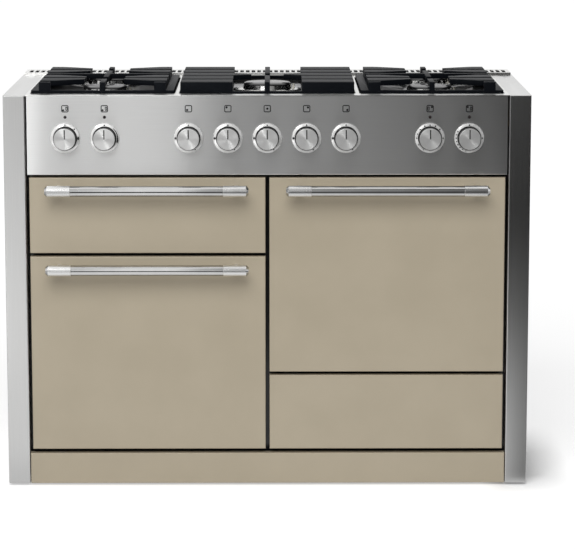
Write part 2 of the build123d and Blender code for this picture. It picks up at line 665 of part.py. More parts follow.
def front_panel(x, bottom, height):
    """One enamelled front: a folded tray of the full door width."""
    return tray(x - DOOR_WIDTH / 2, x + DOOR_WIDTH / 2, 0, TRAY_DEPTH, bottom, bottom + height, SHEET)


def hinge_columns(x):
    """The middle of each hinge arm of a door."""
    reach = DOOR_WIDTH / 2 - HINGE_INSET
    return (x - reach, x + reach)


def hinge_notch(x, bottom):
    """The room that a hinge arm needs in the door as it swings down."""
    half = HINGE_ARM_WIDTH / 2 + HINGE_ARM_CLEARANCE
    top = bottom + HINGE_RISE + HINGE_ARM_RADIUS + HINGE_ARM_CLEARANCE
    front = HINGE_DEPTH - HINGE_ARM_RADIUS - HINGE_ARM_CLEARANCE
    return slab(x - half, x + half, front, LINER_T, bottom - SHEET, top)


def oven_door_panel(x, bottom):
    """An oven door's outer tray, with bored hinge blocks in its lower corners."""
    panel = front_panel(x, bottom, OVEN_DOOR_HEIGHT)
    reach = HINGE_ARM_WIDTH / 2 + HINGE_BLOCK_WIDTH
    for column in hinge_columns(x):
        block_top = bottom + 2 * HINGE_RISE
        panel += slab(column - reach, column + reach, SHEET / 2, 2 * HINGE_DEPTH - SHEET, bottom + SHEET / 2,
                      block_top)
        panel -= rod_across(column - reach - SHEET, column + reach + SHEET, HINGE_DEPTH, bottom + HINGE_RISE,
                            HINGE_PIN_RADIUS + RUNNING_CLEARANCE)
        panel -= hinge_notch(column, bottom)
    return panel


def oven_door_liner(x, bottom):
    """An oven door's inner face: a flange on the tray and a shallow plug that meets the seal."""
    top = bottom + OVEN_DOOR_HEIGHT
    half = DOOR_WIDTH / 2
    margin = LINER_MARGIN
    liner = slab(x - half + FIT, x + half - FIT, TRAY_DEPTH, TRAY_DEPTH + SHEET, bottom + FIT, top - FIT)
    liner += slab(x - half + margin, x + half - margin, TRAY_DEPTH, LINER_T, bottom + margin, top - margin)
    inset = margin + SHEET
    liner -= slab(x - half + inset, x + half - inset, 0, LINER_T - SHEET, bottom + inset, top - inset)
    for column in hinge_columns(x):
        liner -= hinge_notch(column, bottom)
    return liner


def hinge_bracket(x, bottom):
    """A fixed hinge: a plate on the front frame, an arm and a cross pin that carries the door."""
    z = bottom + HINGE_RISE
    half = HINGE_ARM_WIDTH / 2
    bracket = slab(x - half, x + half, HINGE_DEPTH, FRAME_T, z - HINGE_ARM_RADIUS, z + HINGE_ARM_RADIUS)
    bracket += rod_across(x - half, x + half, HINGE_DEPTH, z, HINGE_ARM_RADIUS)
    bracket += slab(x - 2 * half, x + 2 * half, FRAME_T - HINGE_PLATE, FRAME_T, z - 2 * half, z + 2 * half)
    reach = half + HINGE_BLOCK_WIDTH
    return bracket + rod_across(x - reach, x + reach, HINGE_DEPTH, z, HINGE_PIN_RADIUS)


def door_seal(x, bottom):
    """The seal round an oven's opening, on the front frame."""
    z0 = bottom + OVEN_LAND - SEAL_INSET
    z1 = bottom + OVEN_DOOR_HEIGHT - OVEN_LAND + SEAL_INSET
    return ring_frame(OVEN_HALF + SEAL_INSET, x, FRAME_T - SEAL_THICKNESS, FRAME_T, z0, z1, SEAL_WIDTH)


def handle_end(x, side, z):
    """A handle's end: a sleeve over the bar, with a groove near its tip and a post to the door."""
    tip = x + side * HANDLE_LENGTH / 2
    root = tip - side * SLEEVE_LENGTH
    sleeve = rod_across(*sorted((root, tip)), -HANDLE_OFFSET, z, SLEEVE_RADIUS)
    sleeve = chamfer(sleeve.edges().filter_by(GeomType.CIRCLE), SLEEVE_CHAMFER)
    middle = (root + tip) / 2
    end = sleeve + rod_back(middle, z, -HANDLE_OFFSET, 0, POST_RADIUS)
    groove_x = sorted((tip - side * 2 * SLEEVE_CAP, tip - side * (2 * SLEEVE_CAP + GROOVE_WIDTH)))
    band = rod_across(*groove_x, -HANDLE_OFFSET, z, SLEEVE_RADIUS + GROOVE_DEPTH)
    end -= band - rod_across(*groove_x, -HANDLE_OFFSET, z, SLEEVE_RADIUS - GROOVE_DEPTH / 2)
    bore = sorted((root - side * SLEEVE_CAP, tip - side * SLEEVE_CAP))
    return end - rod_across(*bore, -HANDLE_OFFSET, z, BAR_RADIUS + SLEEVE_CLEARANCE)


def handle(x, top):
    """A bar handle: the bar and its two end sleeves with posts."""
    z = top - HANDLE_DROP
    reach = HANDLE_LENGTH / 2 - SLEEVE_CAP - SLEEVE_CLEARANCE
    waist = HANDLE_LENGTH / 2 - SLEEVE_LENGTH - SLEEVE_CLEARANCE
    bar = rod_across(x - reach, x + reach, -HANDLE_OFFSET, z, BAR_RADIUS)
    bar += rod_across(x - waist, x + waist, -HANDLE_OFFSET, z, HANDLE_RADIUS)
    return bar, handle_end(x, -1, z), handle_end(x, 1, z)


def control_panel():
    """The folded control panel: skin, bottom shelf, ends and a top flange under the hob."""
    half = INNER_HALF - CONTROL_SIDE_GAP
    top = HOB_Z - SHEET
    panel = slab(-half, half, 0, FRAME_T, CONTROL_BOTTOM, top)
    front = panel.faces().sort_by(Axis.Y)[0]
    panel = fillet(front.edges().sort_by(Axis.Z)[0], FRONT_EDGE_RADIUS)
    panel -= slab(-half + SHEET, half - SHEET, SHEET, FRAME_T + SHEET, CONTROL_BOTTOM + SHEET, top - SHEET)
    panel -= slab(-half, half, CONTROL_FLANGE, FRAME_T + SHEET, CONTROL_BOTTOM + SHEET, top)
    for x in KNOBS.values():
        panel -= rod_back(x, KNOB_Z, -SHEET, 2 * SHEET, SPINDLE_HOLE_RADIUS)
    for x in OVEN_KNOBS.values():
        panel -= rod_back(x, KNOB_Z + LAMP_RISE, -SHEET, 2 * SHEET, LAMP_RADIUS + RUNNING_CLEARANCE)
    return panel


def neon_lamp(x):
    """A small indicator lamp: a lens through the panel on a body behind it."""
    profile = [(0, -LAMP_STANDOUT), (LAMP_RADIUS / 2, -LAMP_STANDOUT), (LAMP_RADIUS, 0), (LAMP_RADIUS, SHEET),
               (LAMP_BODY_RADIUS, SHEET), (LAMP_BODY_RADIUS, LAMP_LENGTH), (0, LAMP_LENGTH)]
    return turned_back(profile, x, KNOB_Z + LAMP_RISE)


def bezel(x):
    """The bevelled ring round a knob, flat on the panel."""
    profile = [(SPINDLE_HOLE_RADIUS, 0), (BEZEL_RADIUS, 0), (BEZEL_RADIUS, -BEZEL_DEPTH / 3),
               (BEZEL_RADIUS - BEZEL_BEVEL, -BEZEL_DEPTH), (SPINDLE_HOLE_RADIUS, -BEZEL_DEPTH)]
    return turned_back(profile, x, KNOB_Z)


def knob(x):
    """A turned knob with a pointer line, and the spindle that carries it."""
    back = -BEZEL_DEPTH - BEZEL_GAP
    waist = KNOB_RADIUS - KNOB_WAIST
    profile = [(0, back), (waist, back), (KNOB_RADIUS, KNOB_CHAMFER - KNOB_FACE),
               (KNOB_RADIUS - KNOB_CHAMFER, -KNOB_FACE), (0, -KNOB_FACE)]
    body = turned_back(profile, x, KNOB_Z)
    body -= rod_back(x, KNOB_Z, back - SPINDLE_GRIP, back + SHEET, SPINDLE_RADIUS + RUNNING_CLEARANCE)
    half = POINTER_WIDTH / 2
    body -= slab(x - half, x + half, -KNOB_FACE - POINTER_DEPTH, POINTER_DEPTH - KNOB_FACE, KNOB_Z,
                 KNOB_Z + KNOB_RADIUS)
    spindle = rod_back(x, KNOB_Z, back - SPINDLE_GRIP, SPINDLE_END, SPINDLE_RADIUS)
    return body, spindle


def spindle_bore(x):
    """The running bore for a knob's spindle in a tap or a switch."""
    return rod_back(x, KNOB_Z, 0, SPINDLE_END + SHEET, SPINDLE_RADIUS + RUNNING_CLEARANCE)


def gas_tap(x):
    """A brass tap behind the panel: a nose on the panel's back and a body on the gas rail."""
    nose_end = SHEET + TAP_NOSE
    half = TAP_SIZE / 2
    tap = slab(x - half, x + half, nose_end, nose_end + TAP_LENGTH, KNOB_Z - half, KNOB_Z + half)
    tap += rod_back(x, KNOB_Z, SHEET, nose_end, TAP_NOSE_RADIUS)
    return tap - spindle_bore(x)


def oven_switch(x):
    """A rotary switch or thermostat on the back of the panel."""
    half = SWITCH_SIZE / 2
    switch = slab(x - half, x + half, SHEET, SHEET + SWITCH_LENGTH, KNOB_Z - half, KNOB_Z + half)
    return switch - spindle_bore(x)


def gas_rail():
    """The square gas rail under the taps, on two stands on the deck."""
    reach = 2 * BURNER_KNOB_PITCH + RAIL_OVERHANG
    t0 = TAP_T - RAIL_SIZE / 2
    t1 = TAP_T + RAIL_SIZE / 2
    rail = slab(-reach, reach, t0, t1, RAIL_TOP - RAIL_SIZE, RAIL_TOP)
    stand_z = RAIL_TOP - RAIL_SIZE
    for x in (-reach, reach - RAIL_SIZE):
        rail += slab(x, x + RAIL_SIZE, t0, FRAME_T, CONTROL_BOTTOM + SHEET, stand_z)
    return rail


def supply_tube(place):
    """The tube from a tap's top to the underside of its burner."""
    x, t, _, _, knob_x = place
    tap_top = KNOB_Z + TAP_SIZE / 2
    run = tap_top + TUBE_RUN_RISE
    points = [(knob_x, TAP_T, tap_top), (knob_x, TAP_T, run), (knob_x, t, run)]
    if x != knob_x:
        points.append((x, t, run))
    points.append((x, t, WELL_Z - BURNER_CUP_DEPTH))
    return bent_tube(points, TUBE_RADIUS, TUBE_BEND)


def feed_pipe():
    """The pipe from the rail's back face to the inlet's collar."""
    start = (2 * BURNER_KNOB_PITCH, TAP_T + RAIL_SIZE / 2, FEED_Z)
    turn_t = BACK_T - FEED_TURN
    end_t = INLET_T - COLLAR_LENGTH
    points = [start, (start[0], turn_t, FEED_Z), (FEED_X, turn_t, FEED_Z), (FEED_X, end_t, FEED_Z)]
    return bent_tube(points, FEED_RADIUS, FEED_BEND)


def gas_inlet():
    """The threaded inlet that stands out of the back panel, on a collar through the panel."""
    inlet = rod_back(FEED_X, FEED_Z, INLET_T - COLLAR_LENGTH, INLET_T, COLLAR_RADIUS)
    inlet += rod_back(FEED_X, FEED_Z, INLET_T, INLET_T + INLET_LENGTH, INLET_RADIUS)
    return inlet - rod_back(FEED_X, FEED_Z, INLET_T, INLET_T + 2 * INLET_LENGTH, INLET_BORE_RADIUS)


def burner_base(place):
    """A burner's ring on the well floor, with the mixing cup below it and the igniter's hole."""
    x, t, _, ring, _ = place
    cup_bottom = WELL_Z - BURNER_CUP_DEPTH
    profile = [(0, cup_bottom), (BURNER_CUP_RADIUS, cup_bottom), (BURNER_CUP_RADIUS, WELL_Z), (ring, WELL_Z),
               (ring, WELL_Z + BURNER_RING / 2), (ring - BURNER_RING, WELL_Z + BURNER_RING),
               (0, WELL_Z + BURNER_RING)]
    return turned_up(profile, x, t) - igniter_rod(place, WELL_Z - SHEET, IGNITER_RADIUS + RUNNING_CLEARANCE)


def igniter_rod(place, low, radius):
    """An upright rod beside a burner's crown."""
    x, t, head, _, _ = place
    return rod_up(x + head + IGNITER_GAP, t, low, low + IGNITER_LENGTH, radius)


def burner_crown(place):
    """A burner's crown: a hollow drum with flame slots round its top edge."""
    x, t, head, _, _ = place
    low = WELL_Z + BURNER_RING
    high = low + BURNER_CROWN
    profile = [(head - CROWN_WALL, low), (head, low), (head - BURNER_CAP_INSET / 2, high),
               (head - CROWN_WALL - BURNER_CAP_INSET, high)]
    crown = turned_up(profile, x, t)
    slot = Box(4 * CROWN_WALL, FLAME_SLOT_WIDTH, FLAME_SLOT_DEPTH)
    for turn in range(FLAME_SLOTS):
        place_slot = Pos(x, FRONT_Y + t, high - FLAME_SLOT_DEPTH / 2) * Rot(0, 0, 360 * turn / FLAME_SLOTS)
        crown -= place_slot * Pos(head, 0, 0) * slot
    return crown


def burner_cap(place):
    """A burner's black cap, with a softened rim."""
    x, t, head, _, _ = place
    low = WELL_Z + BURNER_RING + BURNER_CROWN
    rim = head - BURNER_CAP_INSET / 2
    profile = [(0, low), (rim, low), (rim, low + BURNER_CAP / 2), (rim - BURNER_CAP_INSET, low + BURNER_CAP),
               (0, low + BURNER_CAP)]
    return turned_up(profile, x, t)


def hob_wells():
    """The three recesses of the hob, as (x, half width)."""
    side = SIDE_GRATE_WIDTH / 2 + WELL_MARGIN
    return [(-SIDE_GRATE_X, side), (0.0, CENTRE_GRATE_WIDTH / 2 + WELL_MARGIN), (SIDE_GRATE_X, side)]


def hob_top():
    """The pressed hob: a flat sheet with three wells and a turned-down flange at each side."""
    front = GRATE_FRONT - WELL_MARGIN
    rear = GRATE_FRONT + GRATE_DEPTH + WELL_MARGIN
    hob = slab(-INNER_HALF, INNER_HALF, 0, HOB_DEPTH, HOB_Z - SHEET, HOB_Z)
    for side in (-1, 1):
        edge = sorted((side * INNER_HALF, side * (INNER_HALF - SHEET)))
        hob += slab(*edge, FRAME_T, HOB_DEPTH, HOB_Z - HOB_FLANGE, HOB_Z)
    for x, half in hob_wells():
        pan = slab(x - half - SHEET, x + half + SHEET, front - SHEET, rear + SHEET, WELL_Z - SHEET, HOB_Z)
        room = slab(x - half, x + half, front, rear, WELL_Z, HOB_Z + SHEET)
        hob += pan
        hob -= fillet(room.edges().filter_by(Axis.Z), WELL_RADIUS)
    for place in BURNERS.values():
        x, t = place[:2]
        hob -= rod_up(x, t, WELL_Z - 2 * SHEET, HOB_Z, BURNER_CUP_RADIUS + FIT)
        hob -= igniter_rod(place, WELL_Z - 2 * SHEET, IGNITER_RADIUS + FIT)
    return hob


def rear_vent():
    """The flue strip behind the hob, raised a little, slotted over its width and lapped over both pillars."""
    t0 = HOB_DEPTH
    t1 = HOB_DEPTH + VENT_DEPTH
    top = HOB_Z + VENT_RISE
    half = INNER_HALF + VENT_OVERHANG
    vent = slab(-half, half, t0, t1, top - SHEET, top)
    vent += slab(-half, half, t0, t0 + SHEET, HOB_Z, top)
    vent += slab(-INNER_HALF, INNER_HALF, t0, t0 + SHEET, HOB_Z - HOB_FLANGE, top)
    for side in (-1, 1):
        lap = sorted((side * half, side * (half - SHEET)))
        edge = sorted((side * INNER_HALF, side * (INNER_HALF - SHEET)))
        vent += slab(*lap, t0, t1, HOB_Z, top)
        vent += slab(*edge, t0, BACK_T, HOB_Z - HOB_FLANGE, top)
    count = int((2 * half - VENT_SLOT_PITCH) // VENT_SLOT_PITCH)
    outline = SlotOverall(VENT_SLOT_LENGTH, VENT_SLOT_WIDTH, rotation=90)
    places = GridLocations(VENT_SLOT_PITCH, VENT_SLOT_PITCH, count, 1)
    slots = Pos(0, FRONT_Y + t1 - VENT_SLOT_REAR, top - 2 * SHEET) * extrude(
        Sketch() + [place * outline for place in places], 3 * SHEET)
    return vent - slots


def side_grate(x):
    """A cast pan support over two burners: low rails, corner posts, a spine and tapered fingers on legs."""
    half = SIDE_GRATE_WIDTH / 2
    front = GRATE_FRONT
    rear = GRATE_FRONT + GRATE_DEPTH
    low = GRATE_TOP - GRATE_BAR
    skirt = WELL_Z + GRATE_SKIRT
    cross = (FRONT_BURNER_T + REAR_BURNER_T) / 2
    spine = (x - GRATE_BAR / 2, x + GRATE_BAR / 2)
    reach = half - GRATE_INSET
    grate = slab(x - reach, x + reach, cross - GRATE_BAR / 2, cross + GRATE_BAR / 2, low, GRATE_TOP)
    for side in (-1, 1):
        rail = sorted((x + side * half, x + side * (half - GRATE_SIDE)))
        leg = sorted((x + side * reach, x + side * (reach - GRATE_BAR)))
        post = sorted((x + side * reach, x + side * (reach - GRATE_POST)))
        grate += slab(*rail, front, rear, skirt, skirt + GRATE_SILL)
        grate += slab(*leg, cross - GRATE_BAR / 2, cross + GRATE_BAR / 2, skirt, GRATE_TOP)
        for t in (front, rear - GRATE_BAR):
            grate += slab(*post, t, t + GRATE_BAR, skirt, GRATE_TOP)
            grate += slab(*rail, t, t + GRATE_BAR, WELL_Z, skirt)
        for t in (FRONT_BURNER_T, REAR_BURNER_T):
            root = x + side * reach
            shoulder = x + side * (reach - FINGER_SHOULDER)
            tip = x + side * FINGER_GAP
            for way in (-1, 1):
                corners = [(root, t + way * FINGER_ROOT_NEAR), (root, t + way * FINGER_ROOT_FAR),
                           (shoulder, t + way * FINGER_ROOT_FAR), (tip, t + way * FINGER_TIP_FAR),
                           (tip, t + way * FINGER_TIP_NEAR)]
                grate += plate(corners, low, GRATE_TOP)
                ends = sorted((t + way * FINGER_ROOT_NEAR, t + way * FINGER_ROOT_FAR))
                grate += slab(*leg, *ends, skirt, GRATE_TOP)
    for t in (front, rear - GRATE_BAR):
        grate += slab(x - half, x + half, t, t + GRATE_BAR, skirt, skirt + GRATE_SILL)
        grate += slab(*spine, t, t + GRATE_BAR, skirt, GRATE_TOP)
    for start, end in ((front, FRONT_BURNER_T - SPINE_GAP),
                       (FRONT_BURNER_T + SPINE_GAP, REAR_BURNER_T - SPINE_GAP),
                       (REAR_BURNER_T + SPINE_GAP, rear)):
        grate += slab(*spine, start, end, low, GRATE_TOP)
    return grate


def centre_grate():
    """The cast pan support over the wok burner: ribbed sides and four fingers round the mouth."""
    half = CENTRE_GRATE_WIDTH / 2
    front = GRATE_FRONT
    rear = GRATE_FRONT + GRATE_DEPTH
    low = GRATE_TOP - GRATE_BAR
    skirt = WELL_Z + GRATE_SKIRT
    rib = (GRATE_DEPTH - (CENTRE_RIBS - 1) * RIB_GAP) / CENTRE_RIBS
    grate = slab(-half, half, front, front + GRATE_BAR, skirt, skirt + GRATE_BAR / 2)
    grate += slab(-half, half, rear - GRATE_BAR, rear, skirt, skirt + GRATE_BAR / 2)
    for side in (-1, 1):
        section = sorted((side * CENTRE_MOUTH, side * half))
        for row in range(CENTRE_RIBS):
            t = front + row * (rib + RIB_GAP)
            grate += slab(*section, t, t + rib, low, GRATE_TOP)
        for edge in (half, CENTRE_MOUTH + GRATE_BAR):
            rail = sorted((side * edge, side * (edge - GRATE_BAR)))
            grate += slab(*rail, front, rear, skirt, GRATE_TOP - GRATE_EASE)
            for t in (front, rear - GRATE_BAR):
                grate += slab(*rail, t, t + GRATE_BAR, WELL_Z, skirt)
        for t in (front, rear - GRATE_BAR):
            grate += slab(*section, t, t + GRATE_BAR, skirt, GRATE_TOP)
        root = side * (CENTRE_MOUTH + GRATE_BAR / 2)
        tip = side * WOK_FINGER_GAP
        grate += plate([(root, WOK_T - WOK_FINGER_ROOT), (root, WOK_T + WOK_FINGER_ROOT),
                        (tip, WOK_T + FINGER_TIP_NEAR), (tip, WOK_T - FINGER_TIP_NEAR)], low, GRATE_TOP)
    spine = (-GRATE_BAR / 2, GRATE_BAR / 2)
    for start, end, stop in ((front, WOK_T - SPINE_GAP, front), (WOK_T + SPINE_GAP, rear, rear - GRATE_BAR)):
        grate += slab(*spine, start, end, low, GRATE_TOP)
        grate += slab(*spine, stop, stop + GRATE_BAR, skirt, GRATE_TOP)
    return grate


def terminal_box():
    """The mains box on the back panel, with a cable gland below it."""
    half = TERMINAL_WIDTH / 2
    low = DECK_Z + TERMINAL_RISE
    t0 = BACK_T + SHEET
    t1 = t0 + TERMINAL_DEPTH
    box = slab(TERMINAL_X - half, TERMINAL_X + half, t0, t1, low, low + TERMINAL_HEIGHT)
    box -= slab(TERMINAL_X - half + SHEET, TERMINAL_X + half - SHEET, t0 - SHEET, t1 - SHEET, low + SHEET,
                low + TERMINAL_HEIGHT - SHEET)
    middle = (t0 + t1) / 2
    box += rod_up(TERMINAL_X, middle, low - GLAND_LENGTH, low + SHEET, GLAND_RADIUS)
    return box - rod_up(TERMINAL_X, middle, low - 2 * GLAND_LENGTH, low + 2 * SHEET, GLAND_BORE_RADIUS)


# Places shared by several pieces
FAN_COVER_T = CAVITY_BACK - FAN_COVER_DEPTH
BAR_RADIUS = SLEEVE_RADIUS - SLEEVE_CAP
CONTROL_FLANGE = GRATE_FRONT / 2
SPINDLE_END = SHEET + TAP_NOSE + TAP_LENGTH / 2
TAP_T = SHEET + TAP_NOSE + TAP_LENGTH / 2
RAIL_TOP = KNOB_Z - TAP_SIZE / 2
FEED_Z = RAIL_TOP - RAIL_SIZE / 2
INLET_T = BACK_T + 2 * SHEET
DOORS = {"left": (-DOOR_X, LEFT_OVEN_BOTTOM), "right": (DOOR_X, RIGHT_OVEN_BOTTOM)}

# Carcass
save("chassis", chassis())
save("levelling_feet", *feet())
save("left_end_panel", end_panel(-1))
save("right_end_panel", end_panel(1))
save("back_panel", back_panel())
save("back_panel_screws", *screws())
save("front_frame", front_frame())
save("plinth", tray(PLINTH_SIDE_GAP - INNER_HALF, INNER_HALF - PLINTH_SIDE_GAP, 0, TRAY_DEPTH, FLOOR_GAP,
                    FLOOR_GAP + PLINTH_HEIGHT, SHEET))
save("control_panel", control_panel())
save("terminal_box", terminal_box())

# Ovens, grill and drawer
save("grill_cavity", cavity(-DOOR_X, GRILL_HALF, GRILL_FLOOR, GRILL_HEIGHT))
for side, (x, bottom) in DOORS.items():
    save(f"{side}_oven_cavity", oven_cavity(x, bottom))
    save(f"{side}_oven_shelf", shelf(x, bottom))
    save(f"{side}_oven_fan", fan(x, bottom))
    save(f"{side}_door_panel", oven_door_panel(x, bottom))
    save(f"{side}_door_liner", oven_door_liner(x, bottom))
    save(f"{side}_door_handle", *handle(x, bottom + OVEN_DOOR_HEIGHT))
save("rack_supports", *[rack_support(x, side, bottom) for x, bottom in DOORS.values() for side in (-1, 1)])
save("fan_covers", *[fan_cover(*place) for place in DOORS.values()])
save("fan_motors", *[fan_motor(*place) for place in DOORS.values()])
save("heating_elements", grill_element(), *[ring_element(*place) for place in DOORS.values()])
save("door_seals", *[door_seal(*place) for place in DOORS.values()])
save("hinge_brackets", *[hinge_bracket(column, bottom) for x, bottom in DOORS.values()
                         for column in hinge_columns(x)])
save("grill_front", front_panel(-DOOR_X, GRILL_BOTTOM, SMALL_FRONT_HEIGHT))
save("grill_handle", *handle(-DOOR_X, FRONTS_TOP))
save("grill_carriage", grill_carriage())
save("grill_pan", grill_pan())
save("drawer_front", front_panel(DOOR_X, FRONTS_BOTTOM, SMALL_FRONT_HEIGHT))
save("drawer_box", drawer_box())
save("slide_rails",
     slide_rail(-DOOR_X, -1, CARRIAGE_HALF, -DOOR_X - GRILL_HALF, GRILL_RUNNER_Z, CAVITY_BACK),
     slide_rail(-DOOR_X, 1, CARRIAGE_HALF, -DOOR_X + GRILL_HALF, GRILL_RUNNER_Z, CAVITY_BACK),
     slide_rail(DOOR_X, -1, DRAWER_HALF, SHEET / 2, DRAWER_RUNNER_Z, CAVITY_BACK),
     slide_rail(DOOR_X, 1, DRAWER_HALF, INNER_HALF, DRAWER_RUNNER_Z, CAVITY_BACK))

# Controls
for name, x in KNOBS.items():
    save(f"{name}_knob", *knob(x))
save("knob_bezels", *[bezel(x) for x in KNOBS.values()])
save("neon_lamps", *[neon_lamp(x) for x in OVEN_KNOBS.values()])
save("oven_switches", *[oven_switch(x) for x in OVEN_KNOBS.values()])

# Gas and hob
save("gas_taps", *[gas_tap(place[4]) for place in BURNERS.values()])
save("gas_pipework", gas_rail(), feed_pipe(), *[supply_tube(place) for place in BURNERS.values()])
save("gas_inlet", gas_inlet())
save("hob_top", hob_top())
save("rear_vent", rear_vent())
save("burner_bases", *[burner_base(place) for place in BURNERS.values()])
save("burner_crowns", *[burner_crown(place) for place in BURNERS.values()])
save("burner_caps", *[burner_cap(place) for place in BURNERS.values()])
save("igniters", *[igniter_rod(place, WELL_Z - IGNITER_TIP, IGNITER_RADIUS) for place in BURNERS.values()])
save("left_grate", side_grate(-SIDE_GRATE_X))
save("centre_grate", centre_grate())
save("right_grate", side_grate(SIDE_GRATE_X))
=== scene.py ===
# %% [markdown]
# # A range cooker in the studio
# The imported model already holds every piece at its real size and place: doors, knobs, pan supports, feet.
# This lesson dresses it. Some pieces only need a finish. Others are modelled again, finer, on the same spot.

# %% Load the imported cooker
import json
import math
import bpy
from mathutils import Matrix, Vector

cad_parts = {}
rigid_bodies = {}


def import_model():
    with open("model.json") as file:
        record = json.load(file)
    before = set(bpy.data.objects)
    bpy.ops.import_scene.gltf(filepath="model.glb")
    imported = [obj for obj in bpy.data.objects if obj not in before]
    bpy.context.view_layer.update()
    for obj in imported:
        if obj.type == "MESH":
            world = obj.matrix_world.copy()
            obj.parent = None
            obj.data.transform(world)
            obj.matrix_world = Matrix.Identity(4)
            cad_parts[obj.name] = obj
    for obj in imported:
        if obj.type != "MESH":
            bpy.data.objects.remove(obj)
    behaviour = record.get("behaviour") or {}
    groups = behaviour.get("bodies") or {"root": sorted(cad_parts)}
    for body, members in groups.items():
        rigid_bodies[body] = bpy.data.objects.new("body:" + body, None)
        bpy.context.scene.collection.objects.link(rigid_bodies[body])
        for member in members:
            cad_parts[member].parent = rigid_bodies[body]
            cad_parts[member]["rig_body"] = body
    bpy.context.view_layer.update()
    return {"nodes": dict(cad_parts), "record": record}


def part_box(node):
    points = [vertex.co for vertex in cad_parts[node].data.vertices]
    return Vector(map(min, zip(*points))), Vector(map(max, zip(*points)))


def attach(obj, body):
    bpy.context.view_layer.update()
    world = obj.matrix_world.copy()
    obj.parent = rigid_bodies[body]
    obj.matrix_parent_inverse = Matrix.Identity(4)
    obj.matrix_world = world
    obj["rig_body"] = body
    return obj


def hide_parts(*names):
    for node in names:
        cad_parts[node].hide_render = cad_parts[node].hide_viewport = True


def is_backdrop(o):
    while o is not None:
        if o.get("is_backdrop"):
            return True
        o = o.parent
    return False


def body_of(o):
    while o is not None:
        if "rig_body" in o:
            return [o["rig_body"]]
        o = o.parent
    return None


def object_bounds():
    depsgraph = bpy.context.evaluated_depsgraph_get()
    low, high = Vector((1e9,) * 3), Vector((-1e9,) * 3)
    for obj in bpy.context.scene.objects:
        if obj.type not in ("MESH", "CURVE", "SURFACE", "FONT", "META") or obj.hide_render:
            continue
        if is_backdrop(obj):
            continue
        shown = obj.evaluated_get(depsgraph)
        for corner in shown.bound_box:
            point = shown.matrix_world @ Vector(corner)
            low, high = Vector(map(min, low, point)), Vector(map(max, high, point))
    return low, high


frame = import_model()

nodes = frame["nodes"]
MM = 0.001

# %% [markdown]
# ## The camera
# The photograph was taken straight from the front with a long lens, a little above the hob. A long lens
# far away keeps the fronts square, so the camera stands over six metres off and looks down by nine and a
# half degrees.

# %% Camera at the photograph's viewing angle
CAMERA_PLACE = (0.012, -6.348, 1.51)       # metres
CAMERA_DOWN, CAMERA_TURN = 9.46, 0.323     # degrees below level, and to the right
CAMERA_LENS, SENSOR_WIDTH = 167.0, 36.0    # millimetres

camera_data = bpy.data.cameras.new("studio_camera")
camera_data.lens = CAMERA_LENS
camera_data.sensor_width = SENSOR_WIDTH
camera = bpy.data.objects.new("studio_camera", camera_data)
camera.location = CAMERA_PLACE
camera.rotation_euler = (math.radians(90 - CAMERA_DOWN), 0, -math.radians(CAMERA_TURN))
bpy.context.scene.collection.objects.link(camera)
bpy.context.scene.camera = camera
bpy.context.scene.view_settings.view_transform = "Standard"
print("camera", CAMERA_LENS, "mm at", CAMERA_PLACE)

# %% [markdown]
# ## Colours and nodes
# Colours are written as they look on a screen, in sRGB hex, and one function turns them to the linear values
# that the shaders count with. One small function adds a node, sets it and links it.

# %% Helpers for colour and nodes
def linear(code):
    """An sRGB hex colour as linear red, green, blue and alpha."""
    channels = [int(code[place:place + 2], 16) / 255 for place in (1, 3, 5)]
    return [c / 12.92 if c <= 0.04045 else ((c + 0.055) / 1.055) ** 2.4 for c in channels] + [1.0]


def add_node(tree, kind, settings=None, inputs=None):
    """One node with its settings; an input is a value or another node's output."""
    node = tree.nodes.new(kind)
    for name, value in (settings or {}).items():
        setattr(node, name, value)
    for name, value in (inputs or {}).items():
        if isinstance(value, bpy.types.NodeSocket):
            tree.links.new(value, node.inputs[name])
        else:
            node.inputs[name].default_value = value
    return node


def start_material(name, inputs):
    """A material with a plain surface shader, and its node tree."""
    material = bpy.data.materials.new(name)
    material.use_nodes = True
    shader = material.node_tree.nodes["Principled BSDF"]
    for socket, value in inputs.items():
        shader.inputs[socket].default_value = value
    return material, material.node_tree, shader


def pattern(tree, spacing_mm, inputs):
    """Noise on the piece's own coordinates, with a real spacing in millimetres along each axis."""
    place = add_node(tree, "ShaderNodeTexCoord").outputs["Object"]
    scale = [1 / (step * MM) for step in spacing_mm]
    mapped = add_node(tree, "ShaderNodeMapping", None, {"Vector": place, "Scale": scale})
    noise_inputs = {"Vector": mapped.outputs["Vector"], "Scale": 1.0, **inputs}
    return add_node(tree, "ShaderNodeTexNoise", None, noise_inputs).outputs["Fac"]


def two_tones(tree, factor, span, dark, light):
    """A colour that runs from dark to light as the pattern goes over a span of values."""
    ramp = add_node(tree, "ShaderNodeValToRGB", None, {"Fac": factor})
    for element, position, tone in zip(ramp.color_ramp.elements, span, (dark, light)):
        element.position = position
        element.color = linear(tone)
    return ramp.outputs["Color"]


def relief(tree, shader, factor, height_mm, strength):
    """Fine relief from a pattern, given its real height in millimetres."""
    inputs = {"Height": factor, "Distance": height_mm * MM, "Strength": strength}
    bump = add_node(tree, "ShaderNodeBump", None, inputs)
    tree.links.new(bump.outputs["Normal"], shader.inputs["Normal"])


print("helpers ready; mid grey is", round(linear("#808080")[0], 3))

# %% [markdown]
# ## Vitreous enamel
# The doors, the drawer and the plinth are pressed steel with fired enamel: a warm beige glass skin, smooth,
# with a faint orange-peel from the firing. A clear coat over a satin base gives both the soft colour and
# the thin gloss on the rounded edges.

# %% Enamel on the fronts, and black enamel inside the ovens
CLOUD_MM, CLOUD_RANGE = 120.0, (0.35, 0.65)
PEEL_MM, PEEL_HEIGHT_MM, PEEL_STRENGTH = 4.0, 0.02, 0.25
COAT_ROUGHNESS = 0.12
GLASS_IOR = 1.5


